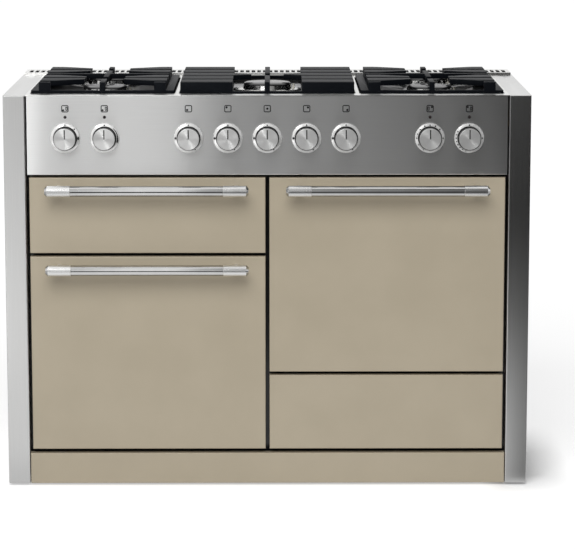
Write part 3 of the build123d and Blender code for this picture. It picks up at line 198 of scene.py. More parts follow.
def vitreous_enamel(name, dark, light, roughness, coat):
    """Fired enamel: clouded very slightly in colour, with orange-peel relief."""
    material, tree, shader = start_material(name, {"Roughness": roughness, "Coat Weight": coat,
                                                   "Coat Roughness": COAT_ROUGHNESS, "IOR": GLASS_IOR})
    cloud = pattern(tree, [CLOUD_MM] * 3, {"Detail": 3.0})
    tree.links.new(two_tones(tree, cloud, CLOUD_RANGE, dark, light), shader.inputs["Base Color"])
    peel = pattern(tree, [PEEL_MM] * 3, {"Detail": 2.0})
    relief(tree, shader, peel, PEEL_HEIGHT_MM, PEEL_STRENGTH)
    return material


# name, dark, light, roughness, weight of the clear coat
beige_enamel = vitreous_enamel("beige_enamel", "#B3A893", "#B7AC97", 0.38, 0.2)
black_enamel = vitreous_enamel("black_enamel", "#141415", "#1A1A1C", 0.3, 0.4)
print("enamel:", beige_enamel.name, black_enamel.name)

# %% [markdown]
# ## Brushed stainless steel
# The control panel and the end panels are brushed with a belt, which leaves fine parallel scratches. Along
# the scratches the steel is smooth, across them it is rough, so a highlight smears across the grain. Noise
# stretched along one axis draws the scratches, and the shader's anisotropy smears the reflections.

# %% Steel brushed along one axis
GRAIN_LENGTH_MM = 160.0
GRAIN_WIDTH_MM = 0.6    # real scratches are a tenth of this; drawn this coarse so that they show
SCRATCH_DEPTH_MM, SCRATCH_STRENGTH = 0.005, 0.05
NOISE_RANGE = (0.3, 0.7)    # noise seldom leaves this range


def spread(tree, factor, low, high):
    """A number that runs from low to high over the usual range of noise."""
    inputs = {"Value": factor, "From Min": NOISE_RANGE[0], "From Max": NOISE_RANGE[1],
              "To Min": low, "To Max": high}
    return add_node(tree, "ShaderNodeMapRange", None, inputs).outputs["Result"]


def brushed_steel(name, along, dark, light, rough_low, rough_high, anisotropy):
    """Belt-brushed stainless steel with its grain along one axis: 0 is X, 1 is Y, 2 is Z."""
    material, tree, shader = start_material(name, {"Metallic": 1.0, "Anisotropic": anisotropy})
    spacing = [GRAIN_WIDTH_MM] * 3
    spacing[along] = GRAIN_LENGTH_MM
    grain = pattern(tree, spacing, {"Detail": 4.0, "Roughness": 0.6})
    tree.links.new(two_tones(tree, grain, NOISE_RANGE, dark, light), shader.inputs["Base Color"])
    tree.links.new(spread(tree, grain, rough_low, rough_high), shader.inputs["Roughness"])
    across = add_node(tree, "ShaderNodeTangent", {"direction_type": "RADIAL", "axis": "XYZ"[along]})
    tree.links.new(across.outputs["Tangent"], shader.inputs["Tangent"])
    relief(tree, shader, grain, SCRATCH_DEPTH_MM, SCRATCH_STRENGTH)
    return material


# name, axis, dark, light, lowest and highest roughness, anisotropy
panel_steel = brushed_steel("panel_steel", 0, "#F4F4F3", "#FAFAF9", 0.33, 0.36, 0.9)
pillar_steel = brushed_steel("pillar_steel", 2, "#D6D6D5", "#DEDEDD", 0.32, 0.35, 0.6)
hob_steel = brushed_steel("hob_steel", 0, "#E6E6E4", "#EEEEEC", 0.28, 0.33, 0.4)
sleeve_steel = brushed_steel("sleeve_steel", 0, "#EDEDEC", "#F2F2F1", 0.26, 0.3, 0.3)
print("steel finishes: panel, pillar, hob, sleeve")

# %% [markdown]
# ## Turned steel
# Knob faces and bezels come off a lathe, so their scratches are rings. A UV map named "turn" holds the angle
# round the axis and the real radius in metres. Noise on the radius alone draws the rings. The tangent
# follows the angle, and a quarter turn of the anisotropy smears highlights across the rings, which makes the
# fan-shaped gleam of a turned face.

# %% Steel turned on a lathe
RING_MM = 0.5
QUARTER_TURN = 0.25    # of a full turn


def turned_finish(name, dark, light, rough_low, rough_high, anisotropy, metallic):
    """Lathe-turned steel, with rings drawn on the radius in the UV map "turn"."""
    material, tree, shader = start_material(name, {"Metallic": metallic, "Anisotropic": anisotropy,
                                                   "Anisotropic Rotation": QUARTER_TURN})
    wrapped = add_node(tree, "ShaderNodeUVMap", {"uv_map": "turn"}).outputs["UV"]
    scale = [0.0, 1 / (RING_MM * MM), 0.0]
    ringed = add_node(tree, "ShaderNodeMapping", None, {"Vector": wrapped, "Scale": scale}).outputs["Vector"]
    noise = add_node(tree, "ShaderNodeTexNoise", None, {"Vector": ringed, "Scale": 1.0, "Detail": 3.0})
    rings = noise.outputs["Fac"]
    tree.links.new(two_tones(tree, rings, NOISE_RANGE, dark, light), shader.inputs["Base Color"])
    tree.links.new(spread(tree, rings, rough_low, rough_high), shader.inputs["Roughness"])
    along = add_node(tree, "ShaderNodeTangent", {"direction_type": "UV_MAP", "uv_map": "turn"})
    tree.links.new(along.outputs["Tangent"], shader.inputs["Tangent"])
    return material


# name, dark, light, lowest and highest roughness, anisotropy, metallic part
face_steel = turned_finish("face_steel", "#ECECEB", "#F6F6F5", 0.44, 0.52, 0.97, 0.75)
bezel_steel = turned_finish("bezel_steel", "#F2F2F1", "#FAFAF9", 0.2, 0.28, 0.5, 0.5)
print("turned finishes: face, bezel")

# %% [markdown]
# ## Cast, plated and moulded finishes
# The pan supports are cast iron under a matt black enamel with a sandy skin. Burner heads are cast
# aluminium, racks are chromed wire, the carcass is galvanised sheet with its grown zinc crystals,
# and the gas fittings are bare brass. They differ in colour, grain and gloss, so one function makes nearly
# all of them, each from the real material's usual roughness. Only the zinc has its own, because its crystals
# are cells with sharp borders.

# %% Cast iron, aluminium, zinc, chrome, brass, plastic, ceramic and seal
METAL = {"Metallic": 1.0}
DARK_EDGED = {"Metallic": 1.0, "Specular Tint": linear("#3A3A3A")}    # a metal that mirrors less at its edges
GRAIN_RANGE, GRAIN_STRENGTH = (0.32, 0.68), 0.5
ROUGHNESS_SPREAD = 0.07
CRYSTAL_MM, CRYSTAL_RANGE, CRYSTAL_ROUGHNESS = 14.0, (0.0, 1.0), (0.36, 0.48)


def grained(name, dark, light, grain_mm, roughness, height_mm, inputs):
    """A finish with one fine grain in its colour, roughness and relief."""
    material, tree, shader = start_material(name, inputs)
    grain = pattern(tree, [grain_mm] * 3, {"Detail": 5.0, "Roughness": 0.65})
    tree.links.new(two_tones(tree, grain, GRAIN_RANGE, dark, light), shader.inputs["Base Color"])
    rough = spread(tree, grain, roughness - ROUGHNESS_SPREAD, roughness + ROUGHNESS_SPREAD)
    tree.links.new(rough, shader.inputs["Roughness"])
    relief(tree, shader, grain, height_mm, GRAIN_STRENGTH)
    return material


def galvanised_sheet():
    """Zinc-dipped sheet: crystals of different grey that meet at sharp borders."""
    material, tree, shader = start_material("galvanised_sheet", METAL)
    place = add_node(tree, "ShaderNodeTexCoord").outputs["Object"]
    scale = 1 / (CRYSTAL_MM * MM)
    crystals = add_node(tree, "ShaderNodeTexVoronoi", None, {"Vector": place, "Scale": scale})
    channels = add_node(tree, "ShaderNodeSeparateColor", None, {"Color": crystals.outputs["Color"]})
    grey = channels.outputs["Red"]
    tree.links.new(two_tones(tree, grey, CRYSTAL_RANGE, "#8D9092", "#A9ACAE"), shader.inputs["Base Color"])
    tree.links.new(spread(tree, grey, *CRYSTAL_ROUGHNESS), shader.inputs["Roughness"])
    return material


# Each line says: name, dark, light, grain in mm, roughness, relief in mm, other inputs.
# matt enamel on cast iron: sandy, with hardly a gleam
cast_iron = grained("cast_iron", "#080A0E", "#101318", 1.2, 0.5, 0.04, {"Specular IOR Level": 0.08})
# cast aluminium: bright, with a soft bloom
burner_alloy = grained("burner_alloy", "#DCDCDA", "#ECECEA", 1.5, 0.22, 0.02, METAL)
# zinc-dipped sheet: a patchwork of grey crystals
galvanised = galvanised_sheet()
# chrome plate: a clear mirror in one thin bright line
chrome_wire = grained("chrome_wire", "#C9CACB", "#DADBDB", 6.0, 0.14, 0.005, METAL)
# bare brass: warm and half dull
bare_brass = grained("bare_brass", "#B08D4C", "#C4A260", 5.0, 0.34, 0.01, METAL)
# steel tube, scaled by heat: brown and dull
heater_sheath = grained("heater_sheath", "#3A3430", "#4A433C", 2.0, 0.5, 0.02, METAL)
# moulded plastic: a fine matt skin
black_plastic = grained("black_plastic", "#161616", "#1E1E1E", 0.8, 0.5, 0.02, {"IOR": 1.46})
# glazed ceramic: creamy and glossy
glazed_ceramic = grained("glazed_ceramic", "#E4DFD2", "#EDE9DE", 8.0, 0.2, 0.01, {"IOR": 1.5})
# braided glass fibre: rough, without gloss
seal_fibre = grained("seal_fibre", "#262626", "#3A3938", 1.0, 0.85, 0.3, {"IOR": 1.4})
# moulded acrylic, unlit: dark red and glossy
red_lens = grained("red_lens", "#1C0404", "#260505", 3.0, 0.15, 0.005, {"IOR": 1.49, "Coat Weight": 0.6})
# polished steel tube: a mirror, darker at its edges
polished_bar = grained("polished_bar", "#D0D0CF", "#D8D8D7", 30.0, 0.07, 0.001, DARK_EDGED)
# printed ink: flat black
dial_ink = grained("dial_ink", "#0C0C0D", "#161617", 0.7, 0.6, 0.01, {"IOR": 1.45})
# moulded skirt: satin black; round the knob faces and on the bezel floors it also paints shade
knob_skirt = grained("knob_skirt", "#111112", "#1B1B1C", 1.0, 0.42, 0.01, {"IOR": 1.5})
print("other finishes:", len(bpy.data.materials), "materials in all")

# %% [markdown]
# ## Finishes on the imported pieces
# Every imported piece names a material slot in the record. A table from slot to finish dresses them all,
# and the few pieces that share a slot but are brushed another way are set by name.

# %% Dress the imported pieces
SLOT_FINISH = {
    "enamel": beige_enamel, "brushed_stainless": panel_steel, "turned_steel": face_steel,
    "black_enamel": black_enamel, "cast_iron": cast_iron, "burner_alloy": burner_alloy,
    "galvanised_steel": galvanised, "chrome_wire": chrome_wire, "brass": bare_brass,
    "element_sheath": heater_sheath, "black_plastic": black_plastic, "white_ceramic": glazed_ceramic,
    "seal_fibre": seal_fibre, "red_lens": red_lens,
}
NODE_FINISH = {"left_end_panel": pillar_steel, "right_end_panel": pillar_steel, "rear_vent": hob_steel}
for subpart in frame["record"]["subparts"]:
    name = subpart["node"]
    finish = NODE_FINISH.get(name, SLOT_FINISH[subpart["material_slot"]])
    for place in nodes[name].material_slots:
        place.material = finish

# %% [markdown]
# ## The workbench
# New pieces are modelled at the origin, the way a lathe or a press would make them, and then settled in
# their place. Settling writes the place into the mesh, so that every object stays at the origin. What repeats
# is modelled once on the bench and copied, each copy with its own mesh.

# %% Helpers for modelling
FRONTWARD = (math.pi / 2, 0.0, 0.0)    # turns a piece's top to the front of the cooker
UNTURNED = (0.0, 0.0, 0.0)


def select_only(*pieces):
    """Make these the only selected pieces, with the first one active."""
    bpy.ops.object.select_all(action="DESELECT")
    for piece in pieces:
        piece.select_set(True)
    bpy.context.view_layer.objects.active = pieces[0]


def settle(piece, place, turn=UNTURNED):
    """Put a piece in its place and write the place into its mesh."""
    piece.location = place
    piece.rotation_euler = turn
    select_only(piece)
    bpy.ops.object.transform_apply(location=True, rotation=True, scale=True)
    return piece


def twin(piece, name, place, turn=UNTURNED):
    """A copy with its own mesh, settled in another place."""
    select_only(piece)
    bpy.ops.object.duplicate(linked=False)
    copy = bpy.context.active_object
    copy.name = name
    return settle(copy, place, turn)


def smooth(piece, degrees=30.0):
    """Smooth shading over soft edges, with sharp ones kept."""
    select_only(piece)
    bpy.ops.object.shade_smooth_by_angle(angle=math.radians(degrees))


def combine(piece, tool, operation):
    """Cut a tool from a piece, or weld it on, and put the tool away."""
    modifier = piece.modifiers.new("combine", "BOOLEAN")
    modifier.object = tool
    modifier.operation = operation
    modifier.solver = "EXACT"
    modifier.material_mode = "TRANSFER"
    select_only(piece)
    bpy.ops.object.modifier_apply(modifier="combine")
    bpy.data.objects.remove(tool, do_unlink=True)


print("workbench ready")

# %% [markdown]
# ## The lathe
# A turned piece starts as one point, which is extruded along half a profile and spun. A screw modifier could
# do the same, but a spin leaves a plain mesh that can be painted and cut at once. Paint chooses a finish for
# each face by where the face lies. The UV map "turn" is laid round the axis for the turned finishes.

# %% Helpers for turned pieces
MERGE_MM = 0.002    # points closer than this are one point
AXIS_MM = 0.01      # a point closer to the axis than this has no angle of its own


def turned(name, profile_mm, steps):
    """A piece turned about the Z axis from (radius, height) corners in millimetres."""
    bpy.ops.object.select_all(action="DESELECT")
    bpy.ops.mesh.primitive_plane_add(size=MM)
    piece = bpy.context.active_object
    piece.name = name
    bpy.ops.object.mode_set(mode="EDIT")
    bpy.ops.mesh.select_all(action="SELECT")
    bpy.ops.mesh.merge(type="CENTER")
    radius, height = profile_mm[0]
    bpy.ops.transform.translate(value=(radius * MM, 0, height * MM))
    for next_radius, next_height in profile_mm[1:]:
        step = ((next_radius - radius) * MM, 0, (next_height - height) * MM)
        bpy.ops.mesh.extrude_region_move(TRANSFORM_OT_translate={"value": step})
        radius, height = next_radius, next_height
    bpy.ops.mesh.select_all(action="SELECT")
    bpy.ops.mesh.spin(steps=steps, angle=math.tau, center=(0, 0, 0), axis=(0, 0, 1))
    bpy.ops.mesh.select_all(action="SELECT")
    bpy.ops.mesh.remove_doubles(threshold=MERGE_MM * MM)
    bpy.ops.mesh.normals_make_consistent(inside=False)
    bpy.ops.object.mode_set(mode="OBJECT")
    return piece


def paint(piece, finishes, choose):
    """Give a piece its finishes; choose turns a face's centre into the number of its finish."""
    for finish in finishes:
        piece.data.materials.append(finish)
    for face in piece.data.polygons:
        face.material_index = choose(face.center)


def wrap_turn(piece):
    """A UV map "turn" about the piece's Z axis: the angle, as a part of a full turn, and the radius."""
    layer = piece.data.uv_layers.new(name="turn")
    for face in piece.data.polygons:
        middle = math.atan2(face.center.y, face.center.x)
        for corner in face.loop_indices:
            place = piece.data.vertices[piece.data.loops[corner].vertex_index].co
            radius = math.hypot(place.x, place.y)
            angle = math.atan2(place.y, place.x) if radius > AXIS_MM * MM else middle
            swing = (angle - middle + math.pi) % math.tau - math.pi
            layer.data[corner].uv = ((middle + swing) / math.tau, radius)


print("lathe ready")

# %% [markdown]
# ## Nine knobs
# Each knob is a black skirt with a turned steel face let into its front. The skirt is a little wider than the
# face, so that its dark ring round the face is partly painted shade. A fine inked groove runs from the middle
# of the face towards its edge and shows where the knob points. It is cut, not drawn, so that it stays sharp
# from near by. One knob is turned and grooved on the bench, and each of the nine is a copy on its own spindle.

# %% Turn a knob, cut its pointer, and put one on each spindle
LATHE_STEPS = 96
KNOB_FRONT = 28.0    # this and the sizes below are in mm, and profiles are (radius, height)
KNOB_PROFILE = [(0, 7), (21, 7), (21, 9), (25.2, 9.4), (26.2, 24.2), (25.9, 25.6), (25.0, 26.2), (24.7, 26.2),
                (24.6, 27.2), (23.9, KNOB_FRONT), (0, KNOB_FRONT)]
KNOB_FACE_FROM = 26.3
POINTER_WIDTH, POINTER_LENGTH, POINTER_DEPTH = 2.6, 21.5, 0.6

bench_knob = turned("bench_knob", KNOB_PROFILE, LATHE_STEPS)
# the skirt is wider than the face, so its dark ring round the face is partly painted shade
paint(bench_knob, [knob_skirt, face_steel], lambda centre: int(centre.z > KNOB_FACE_FROM * MM))
bpy.ops.object.select_all(action="DESELECT")
bpy.ops.mesh.primitive_cube_add(size=1.0, location=(0, POINTER_LENGTH / 2 * MM, KNOB_FRONT * MM),
                                scale=(POINTER_WIDTH * MM, POINTER_LENGTH * MM, 2 * POINTER_DEPTH * MM))
pointer_cutter = bpy.context.active_object
pointer_cutter.data.materials.append(dial_ink)
combine(bench_knob, pointer_cutter, "DIFFERENCE")
wrap_turn(bench_knob)
smooth(bench_knob)

KNOB_NAMES = [name for name in nodes if name.endswith("_knob")]
knob_places = {}
for name in KNOB_NAMES:
    low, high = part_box(name)
    place = Vector(((low.x + high.x) / 2, low.y + KNOB_FRONT * MM, (low.z + high.z) / 2))
    knob_places[name] = place
    knob = twin(bench_knob, name + "_turned", place, FRONTWARD)
    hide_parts(name)
    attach(knob, body_of(nodes[name])[0])
bpy.data.objects.remove(bench_knob, do_unlink=True)
print("knobs:", len(KNOB_NAMES))

# %% [markdown]
# ## Bezels
# A steel ring stands round each knob. Its face slopes outwards like a shallow cone and rolls over at the rim,
# which gives it a bright side and a dark side. Its floor, behind the knob, is painted dark as the shade in the
# gap round the knob.

# %% Turn a bezel and set one round each knob
BEZEL_PROFILE = [(7, 0.2), (7, 2), (26.9, 2), (27.2, 5.7), (27.8, 6.1), (32.2, 5.0), (33.5, 4.1), (34.1, 2.8),
                 (34.2, 0.2), (7, 0.2)]
BEZEL_FLOOR = 27.0


def join(name, pieces):
    """Several pieces made into one object."""
    select_only(*pieces)
    bpy.ops.object.join()
    joined = bpy.context.active_object
    joined.name = name
    return joined


bench_bezel = turned("bench_bezel", BEZEL_PROFILE, LATHE_STEPS)
# the floor inside the cone is painted dark as the shade round the knob
paint(bench_bezel, [knob_skirt, bezel_steel],
      lambda centre: int(math.hypot(centre.x, centre.y) > BEZEL_FLOOR * MM))
wrap_turn(bench_bezel)
smooth(bench_bezel)
bezels = [twin(bench_bezel, name + "_bezel", place, FRONTWARD) for name, place in knob_places.items()]
bpy.data.objects.remove(bench_bezel, do_unlink=True)
knob_bezels = join("turned_bezels", bezels)
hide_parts("knob_bezels")
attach(knob_bezels, body_of(nodes["knob_bezels"])[0])
print("bezels:", len(bezels))

# %% [markdown]
# ## Ink
# The marks and the pictures are printed in dark ink. A picture file could hold them, but thin solid ink stays
# sharp at any distance. Two shapes are enough: an oval pad, and the outline of a rounded rectangle. Both are
# made flat on the bench.

# %% Helpers for printed pieces
INK_MM = 0.3
PAD_CORNERS = 24
CORNER_STEPS = 6


def pad(width_mm, height_mm):
    """An oval pad of ink, flat on the bench."""
    bpy.ops.object.select_all(action="DESELECT")
    bpy.ops.mesh.primitive_circle_add(vertices=PAD_CORNERS, radius=0.5, fill_type="NGON")
    piece = bpy.context.active_object
    bpy.ops.object.mode_set(mode="EDIT")
    bpy.ops.mesh.select_all(action="SELECT")
    bpy.ops.transform.resize(value=(width_mm * MM, height_mm * MM, 1.0))
    bpy.ops.mesh.extrude_region_move(TRANSFORM_OT_translate={"value": (0, 0, INK_MM * MM)})
    bpy.ops.mesh.select_all(action="SELECT")
    bpy.ops.mesh.normals_make_consistent(inside=False)
    bpy.ops.object.mode_set(mode="OBJECT")
    return piece


def outline(width_mm, height_mm, corner_mm, line_mm):
    """A rounded rectangle drawn as one thin line of ink."""
    bpy.ops.object.select_all(action="DESELECT")
    bpy.ops.mesh.primitive_plane_add(size=1.0)
    piece = bpy.context.active_object
    bpy.ops.object.mode_set(mode="EDIT")
    bpy.ops.mesh.select_all(action="SELECT")
    bpy.ops.transform.resize(value=(width_mm * MM, height_mm * MM, 1.0))
    bpy.ops.mesh.bevel(offset=corner_mm * MM, segments=CORNER_STEPS, affect="VERTICES")
    bpy.ops.mesh.select_all(action="SELECT")
    bpy.ops.mesh.inset(thickness=line_mm * MM)
    bpy.ops.mesh.delete(type="FACE")
    bpy.ops.mesh.select_all(action="SELECT")
    bpy.ops.mesh.extrude_region_move(TRANSFORM_OT_translate={"value": (0, 0, INK_MM * MM)})
    bpy.ops.mesh.select_all(action="SELECT")
    bpy.ops.mesh.normals_make_consistent(inside=False)
    bpy.ops.object.mode_set(mode="OBJECT")
    return piece


print("ink ready")

# %% [markdown]
# ## Marks on the bezels
# The marks of a dial stand round its knob at hours of the clock. Each is a pad that is tilted on the bench to
# lie on the bezel's cone, and then moved to its knob.

# %% Print the marks
HOUR_DEGREES = 30
MARK_RADIUS = 30.0
MARK_HEIGHT = 5.5
CONE_TOP, CONE_RIM = BEZEL_PROFILE[4:6]
CONE_TILT = math.atan((CONE_TOP[1] - CONE_RIM[1]) / (CONE_RIM[0] - CONE_TOP[0]))
OFF_MARK = (0, 3.4, 3.4)    # the hour, the width and the height
GAS_MARKS = [OFF_MARK, (9, 5.6, 4.8), (5, 3.6, 2.8)]
DIAL_MARKS = {
    "left_oven_selector_knob": [OFF_MARK, (1.5, 3.4, 3.4), (3, 8.0, 5.0)],
    "left_oven_thermostat_knob": [OFF_MARK]
    + [(1.5 + 0.25 * step, 5.0, 1.6 + 0.35 * step) for step in range(9)],
    "right_oven_thermostat_knob": [(hour, 3.0, 4.4) for hour in (10.4, 11.2, 0, 0.8, 1.6)]
    + [(hour, 3.0, 3.0) for hour in (9.6, 9, 8)] + [(7, 2.6, 2.6), (3, 3.6, 3.6)],
    "grill_knob": [OFF_MARK, (3, 3.6, 3.6)] + [(10 - 0.5 * step, 2.6, 3.6) for step in range(8)],
}

printed = []
for name, centre in knob_places.items():
    for hour, width, height in DIAL_MARKS.get(name, GAS_MARKS):
        angle = math.radians(HOUR_DEGREES * hour)
        mark = pad(width, height)
        settle(mark, (MARK_RADIUS * math.sin(angle) * MM, MARK_RADIUS * math.cos(angle) * MM,
                      (MARK_HEIGHT - INK_MM / 2) * MM), (-CONE_TILT, 0, -angle))
        printed.append(settle(mark, centre, FRONTWARD))
print("printed marks:", len(printed))

# %% [markdown]
# ## Pictures on the panel
# A small picture stands above each knob: a rounded square for the hob or the oven, with a dot for the burner
# or the cavity that the knob serves. In an oven's picture a narrow frame stands opposite the dot, and a dark
# ring is printed round the lamp below it. All the ink stays with the panel, so it is joined to one piece.

# %% Print the pictures
PICTURE_SIZE, PICTURE_CORNER, PICTURE_LINE = 16.5, 3.5, 2.0
PICTURE_RISE = 67.5
GAS_DOT, OVEN_DOT = 5.0, 4.6
GAS_DOTS = {"front_left": (-3, -3), "rear_left": (-3, 3), "wok": (0, 0), "rear_right": (3, 3),
            "front_right": (3, -3)}
OVEN_DOTS = {"left_oven_selector_knob": (-4, -3.5), "left_oven_thermostat_knob": (-4, -3.5),
             "right_oven_thermostat_knob": (4, 3.5), "grill_knob": (-4, 3.5)}
FRAME_WIDTH, FRAME_HEIGHT, FRAME_CORNER, FRAME_LINE = 4.6, 9.0, 1.2, 1.6
FRAME_SHARE = 0.9           # the narrow frame's place, as a part of the dot's
LAMP_RING, LAMP_RING_LINE = 7.0, 1.6
RING_CORNER = 0.48          # of the ring's size; nearly half makes a square round


def on_panel(piece, centre, x_mm, z_mm):
    """Set a flat ink piece on the control panel, at an offset from a point of its front."""
    return settle(piece, centre + Vector((x_mm * MM, 0, z_mm * MM)), FRONTWARD)


lamp_low, lamp_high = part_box("neon_lamps")
for name, centre in knob_places.items():
    square = outline(PICTURE_SIZE, PICTURE_SIZE, PICTURE_CORNER, PICTURE_LINE)
    printed.append(on_panel(square, centre, 0, PICTURE_RISE))
    if name in OVEN_DOTS:
        x, z = OVEN_DOTS[name]
        printed.append(on_panel(pad(OVEN_DOT, OVEN_DOT), centre, x, PICTURE_RISE + z))
        narrow = outline(FRAME_WIDTH, FRAME_HEIGHT, FRAME_CORNER, FRAME_LINE)
        printed.append(on_panel(narrow, centre, -x * FRAME_SHARE, PICTURE_RISE))
        lamp_rise = ((lamp_low.z + lamp_high.z) / 2 - centre.z) / MM
        ring = outline(LAMP_RING, LAMP_RING, RING_CORNER * LAMP_RING, LAMP_RING_LINE)
        printed.append(on_panel(ring, centre, 0, lamp_rise))
    else:
        x, z = GAS_DOTS[name.replace("_burner_knob", "")]
        printed.append(on_panel(pad(GAS_DOT, GAS_DOT), centre, x, PICTURE_RISE + z))
panel_print = join("panel_print", printed)
panel_print.data.materials.append(dial_ink)
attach(panel_print, body_of(nodes["control_panel"])[0])
print("printed marks, pictures and rings:", len(printed), "pieces of ink")

# %% [markdown]
# ## Bar handles
# A handle is a polished bar between two satin sleeves. Each sleeve has a polished chamfer at its tip, and two
# fine grooves set off its inner collar. A post under each sleeve flares a little where it meets the door. Bar
# and sleeves share one axis, so they are turned in one go, and the posts are welded on.

# %% Turn the handles and weld on their posts
BAR_RADIUS, SLEEVE_RADIUS = 11.8, 12.75
SLEEVE_LENGTH = 58.0
GROOVE_PLACES = (SLEEVE_LENGTH - 12.5, SLEEVE_LENGTH - 5.5)
GROOVE_WIDTH, GROOVE_DEPTH, GROOVE_SLOPE = 0.9, 0.5, 0.2
COLLAR_EDGE, TIP_CHAMFER = 0.5, 5.5
POST_INSET = 29.0
POST_PROFILE = [(0, 0.1), (9, 0.1), (9, 1.2), (8, 2.6), (7.6, 6), (7.6, 42), (0, 42)]
BAR_STEPS, POST_STEPS = 64, 40
ACROSS = (0.0, math.pi / 2, 0.0)    # lays a piece's axis from left to right
HANDLE_NAMES = ("grill_handle", "left_door_handle", "right_door_handle")


def handle_profile(length):
    """The handle's (radius, place) corners: tip, sleeve with two grooves, bar, and the same mirrored."""
    half = length / 2
    end = [(0, -half), (SLEEVE_RADIUS - TIP_CHAMFER, -half), (SLEEVE_RADIUS, TIP_CHAMFER - half)]
    for place in GROOVE_PLACES:
        end += [(SLEEVE_RADIUS, place - half), (SLEEVE_RADIUS - GROOVE_DEPTH, place - half + GROOVE_SLOPE),
                (SLEEVE_RADIUS - GROOVE_DEPTH, place - half + GROOVE_WIDTH - GROOVE_SLOPE),
                (SLEEVE_RADIUS, place - half + GROOVE_WIDTH)]
    end += [(SLEEVE_RADIUS, SLEEVE_LENGTH - half - COLLAR_EDGE),
            (SLEEVE_RADIUS - COLLAR_EDGE, SLEEVE_LENGTH - half), (BAR_RADIUS, SLEEVE_LENGTH - half)]
    return end + [(radius, -place) for radius, place in reversed(end)]


for name in HANDLE_NAMES:
    low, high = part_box(name)
    length = (high.x - low.x) / MM
    middle = (low.x + high.x) / 2
    level = (low.z + high.z) / 2
    handle = turned(name + "_turned", handle_profile(length), BAR_STEPS)
    bar_end = (length / 2 - SLEEVE_LENGTH) * MM
    tip_start = (length / 2 - TIP_CHAMFER) * MM
    paint(handle, [polished_bar, sleeve_steel], lambda centre: int(bar_end < abs(centre.z) < tip_start))
    settle(handle, (middle, low.y + SLEEVE_RADIUS * MM, level), ACROSS)
    for side in (-1, 1):
        post = turned("post", POST_PROFILE, POST_STEPS)
        paint(post, [sleeve_steel], lambda centre: 0)
        settle(post, (middle + side * (length / 2 - POST_INSET) * MM, high.y, level), FRONTWARD)
        combine(handle, post, "UNION")
    smooth(handle)
    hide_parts(name)
    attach(handle, body_of(nodes[name])[0])
print("handles:", len(HANDLE_NAMES))

# %% [markdown]
# ## Castings with soft edges
# A cast or pressed piece has no knife edges, and its rounded edges are what catch the light. A copy of each
# imported mesh is merged, its flat faces are dissolved into whole ones, and every sharp edge is rounded. The
# wells of the hob are painted black below their rims.

# %% Round the edges of the pan supports, the burners and the hob
SOFT_EDGES_MM = {"left_grate": 1.2, "centre_grate": 1.2, "right_grate": 1.2, "burner_caps": 1.2,
                 "burner_bases": 0.7, "hob_top": 0.8, "rear_vent": 0.6}
WELL_SHADE_MM = 1.5
SEAM_MM = 0.005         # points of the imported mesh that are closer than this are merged
FLAT_DEGREES = 1        # faces that meet at less than this become one
SHARP_DEGREES = 35      # edges that turn by more than this are rounded
SHADED_DEGREES = 40     # and shading stays smooth up to this
ROUND_STEPS = 3

for name, width in SOFT_EDGES_MM.items():
    select_only(nodes[name])
    bpy.ops.object.duplicate(linked=False)
    piece = bpy.context.active_object
    piece.name = name + "_soft"
    bpy.ops.object.parent_clear(type="CLEAR_KEEP_TRANSFORM")
    bpy.ops.object.transform_apply(location=True, rotation=True, scale=True)
    bpy.ops.mesh.customdata_custom_splitnormals_clear()
    bpy.ops.object.mode_set(mode="EDIT")
    bpy.ops.mesh.select_all(action="SELECT")
    bpy.ops.mesh.remove_doubles(threshold=SEAM_MM * MM)
    bpy.ops.mesh.dissolve_limited(angle_limit=math.radians(FLAT_DEGREES))
    bpy.ops.object.mode_set(mode="OBJECT")
    bevel = piece.modifiers.new("soft", "BEVEL")
    bevel.width = width * MM
    bevel.segments = ROUND_STEPS
    bevel.limit_method = "ANGLE"
    bevel.angle_limit = math.radians(SHARP_DEGREES)
    bpy.ops.object.modifier_apply(modifier="soft")
    if name == "hob_top":
        # below this line the wells of the hob are painted black
        well_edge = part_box(name)[1].z - WELL_SHADE_MM * MM
        piece.data.materials.clear()
        paint(piece, [hob_steel, black_enamel], lambda centre: int(centre.z < well_edge))
    smooth(piece, SHADED_DEGREES)
    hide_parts(name)
    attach(piece, body_of(nodes[name])[0])
    print("softened", name, len(piece.data.polygons), "faces")

# %% [markdown]
# ## Black trays of painted shade
# The vent strip laps over both pillars. A black tray lies on each pillar under the lap and closes it at the
# back. It paints the shade under the slots there, so that they look as dark as the others. It is folded like
# sheet: a flat blank, its rear edge turned up, and then a thickness.

# %% Lay a black tray of painted shade under each end of the vent
SHADE_TRAY_MM = 0.4
SHADE_TRAY_INSET_MM = 4.0
SHADE_TRAY_RISE_MM = 3.6

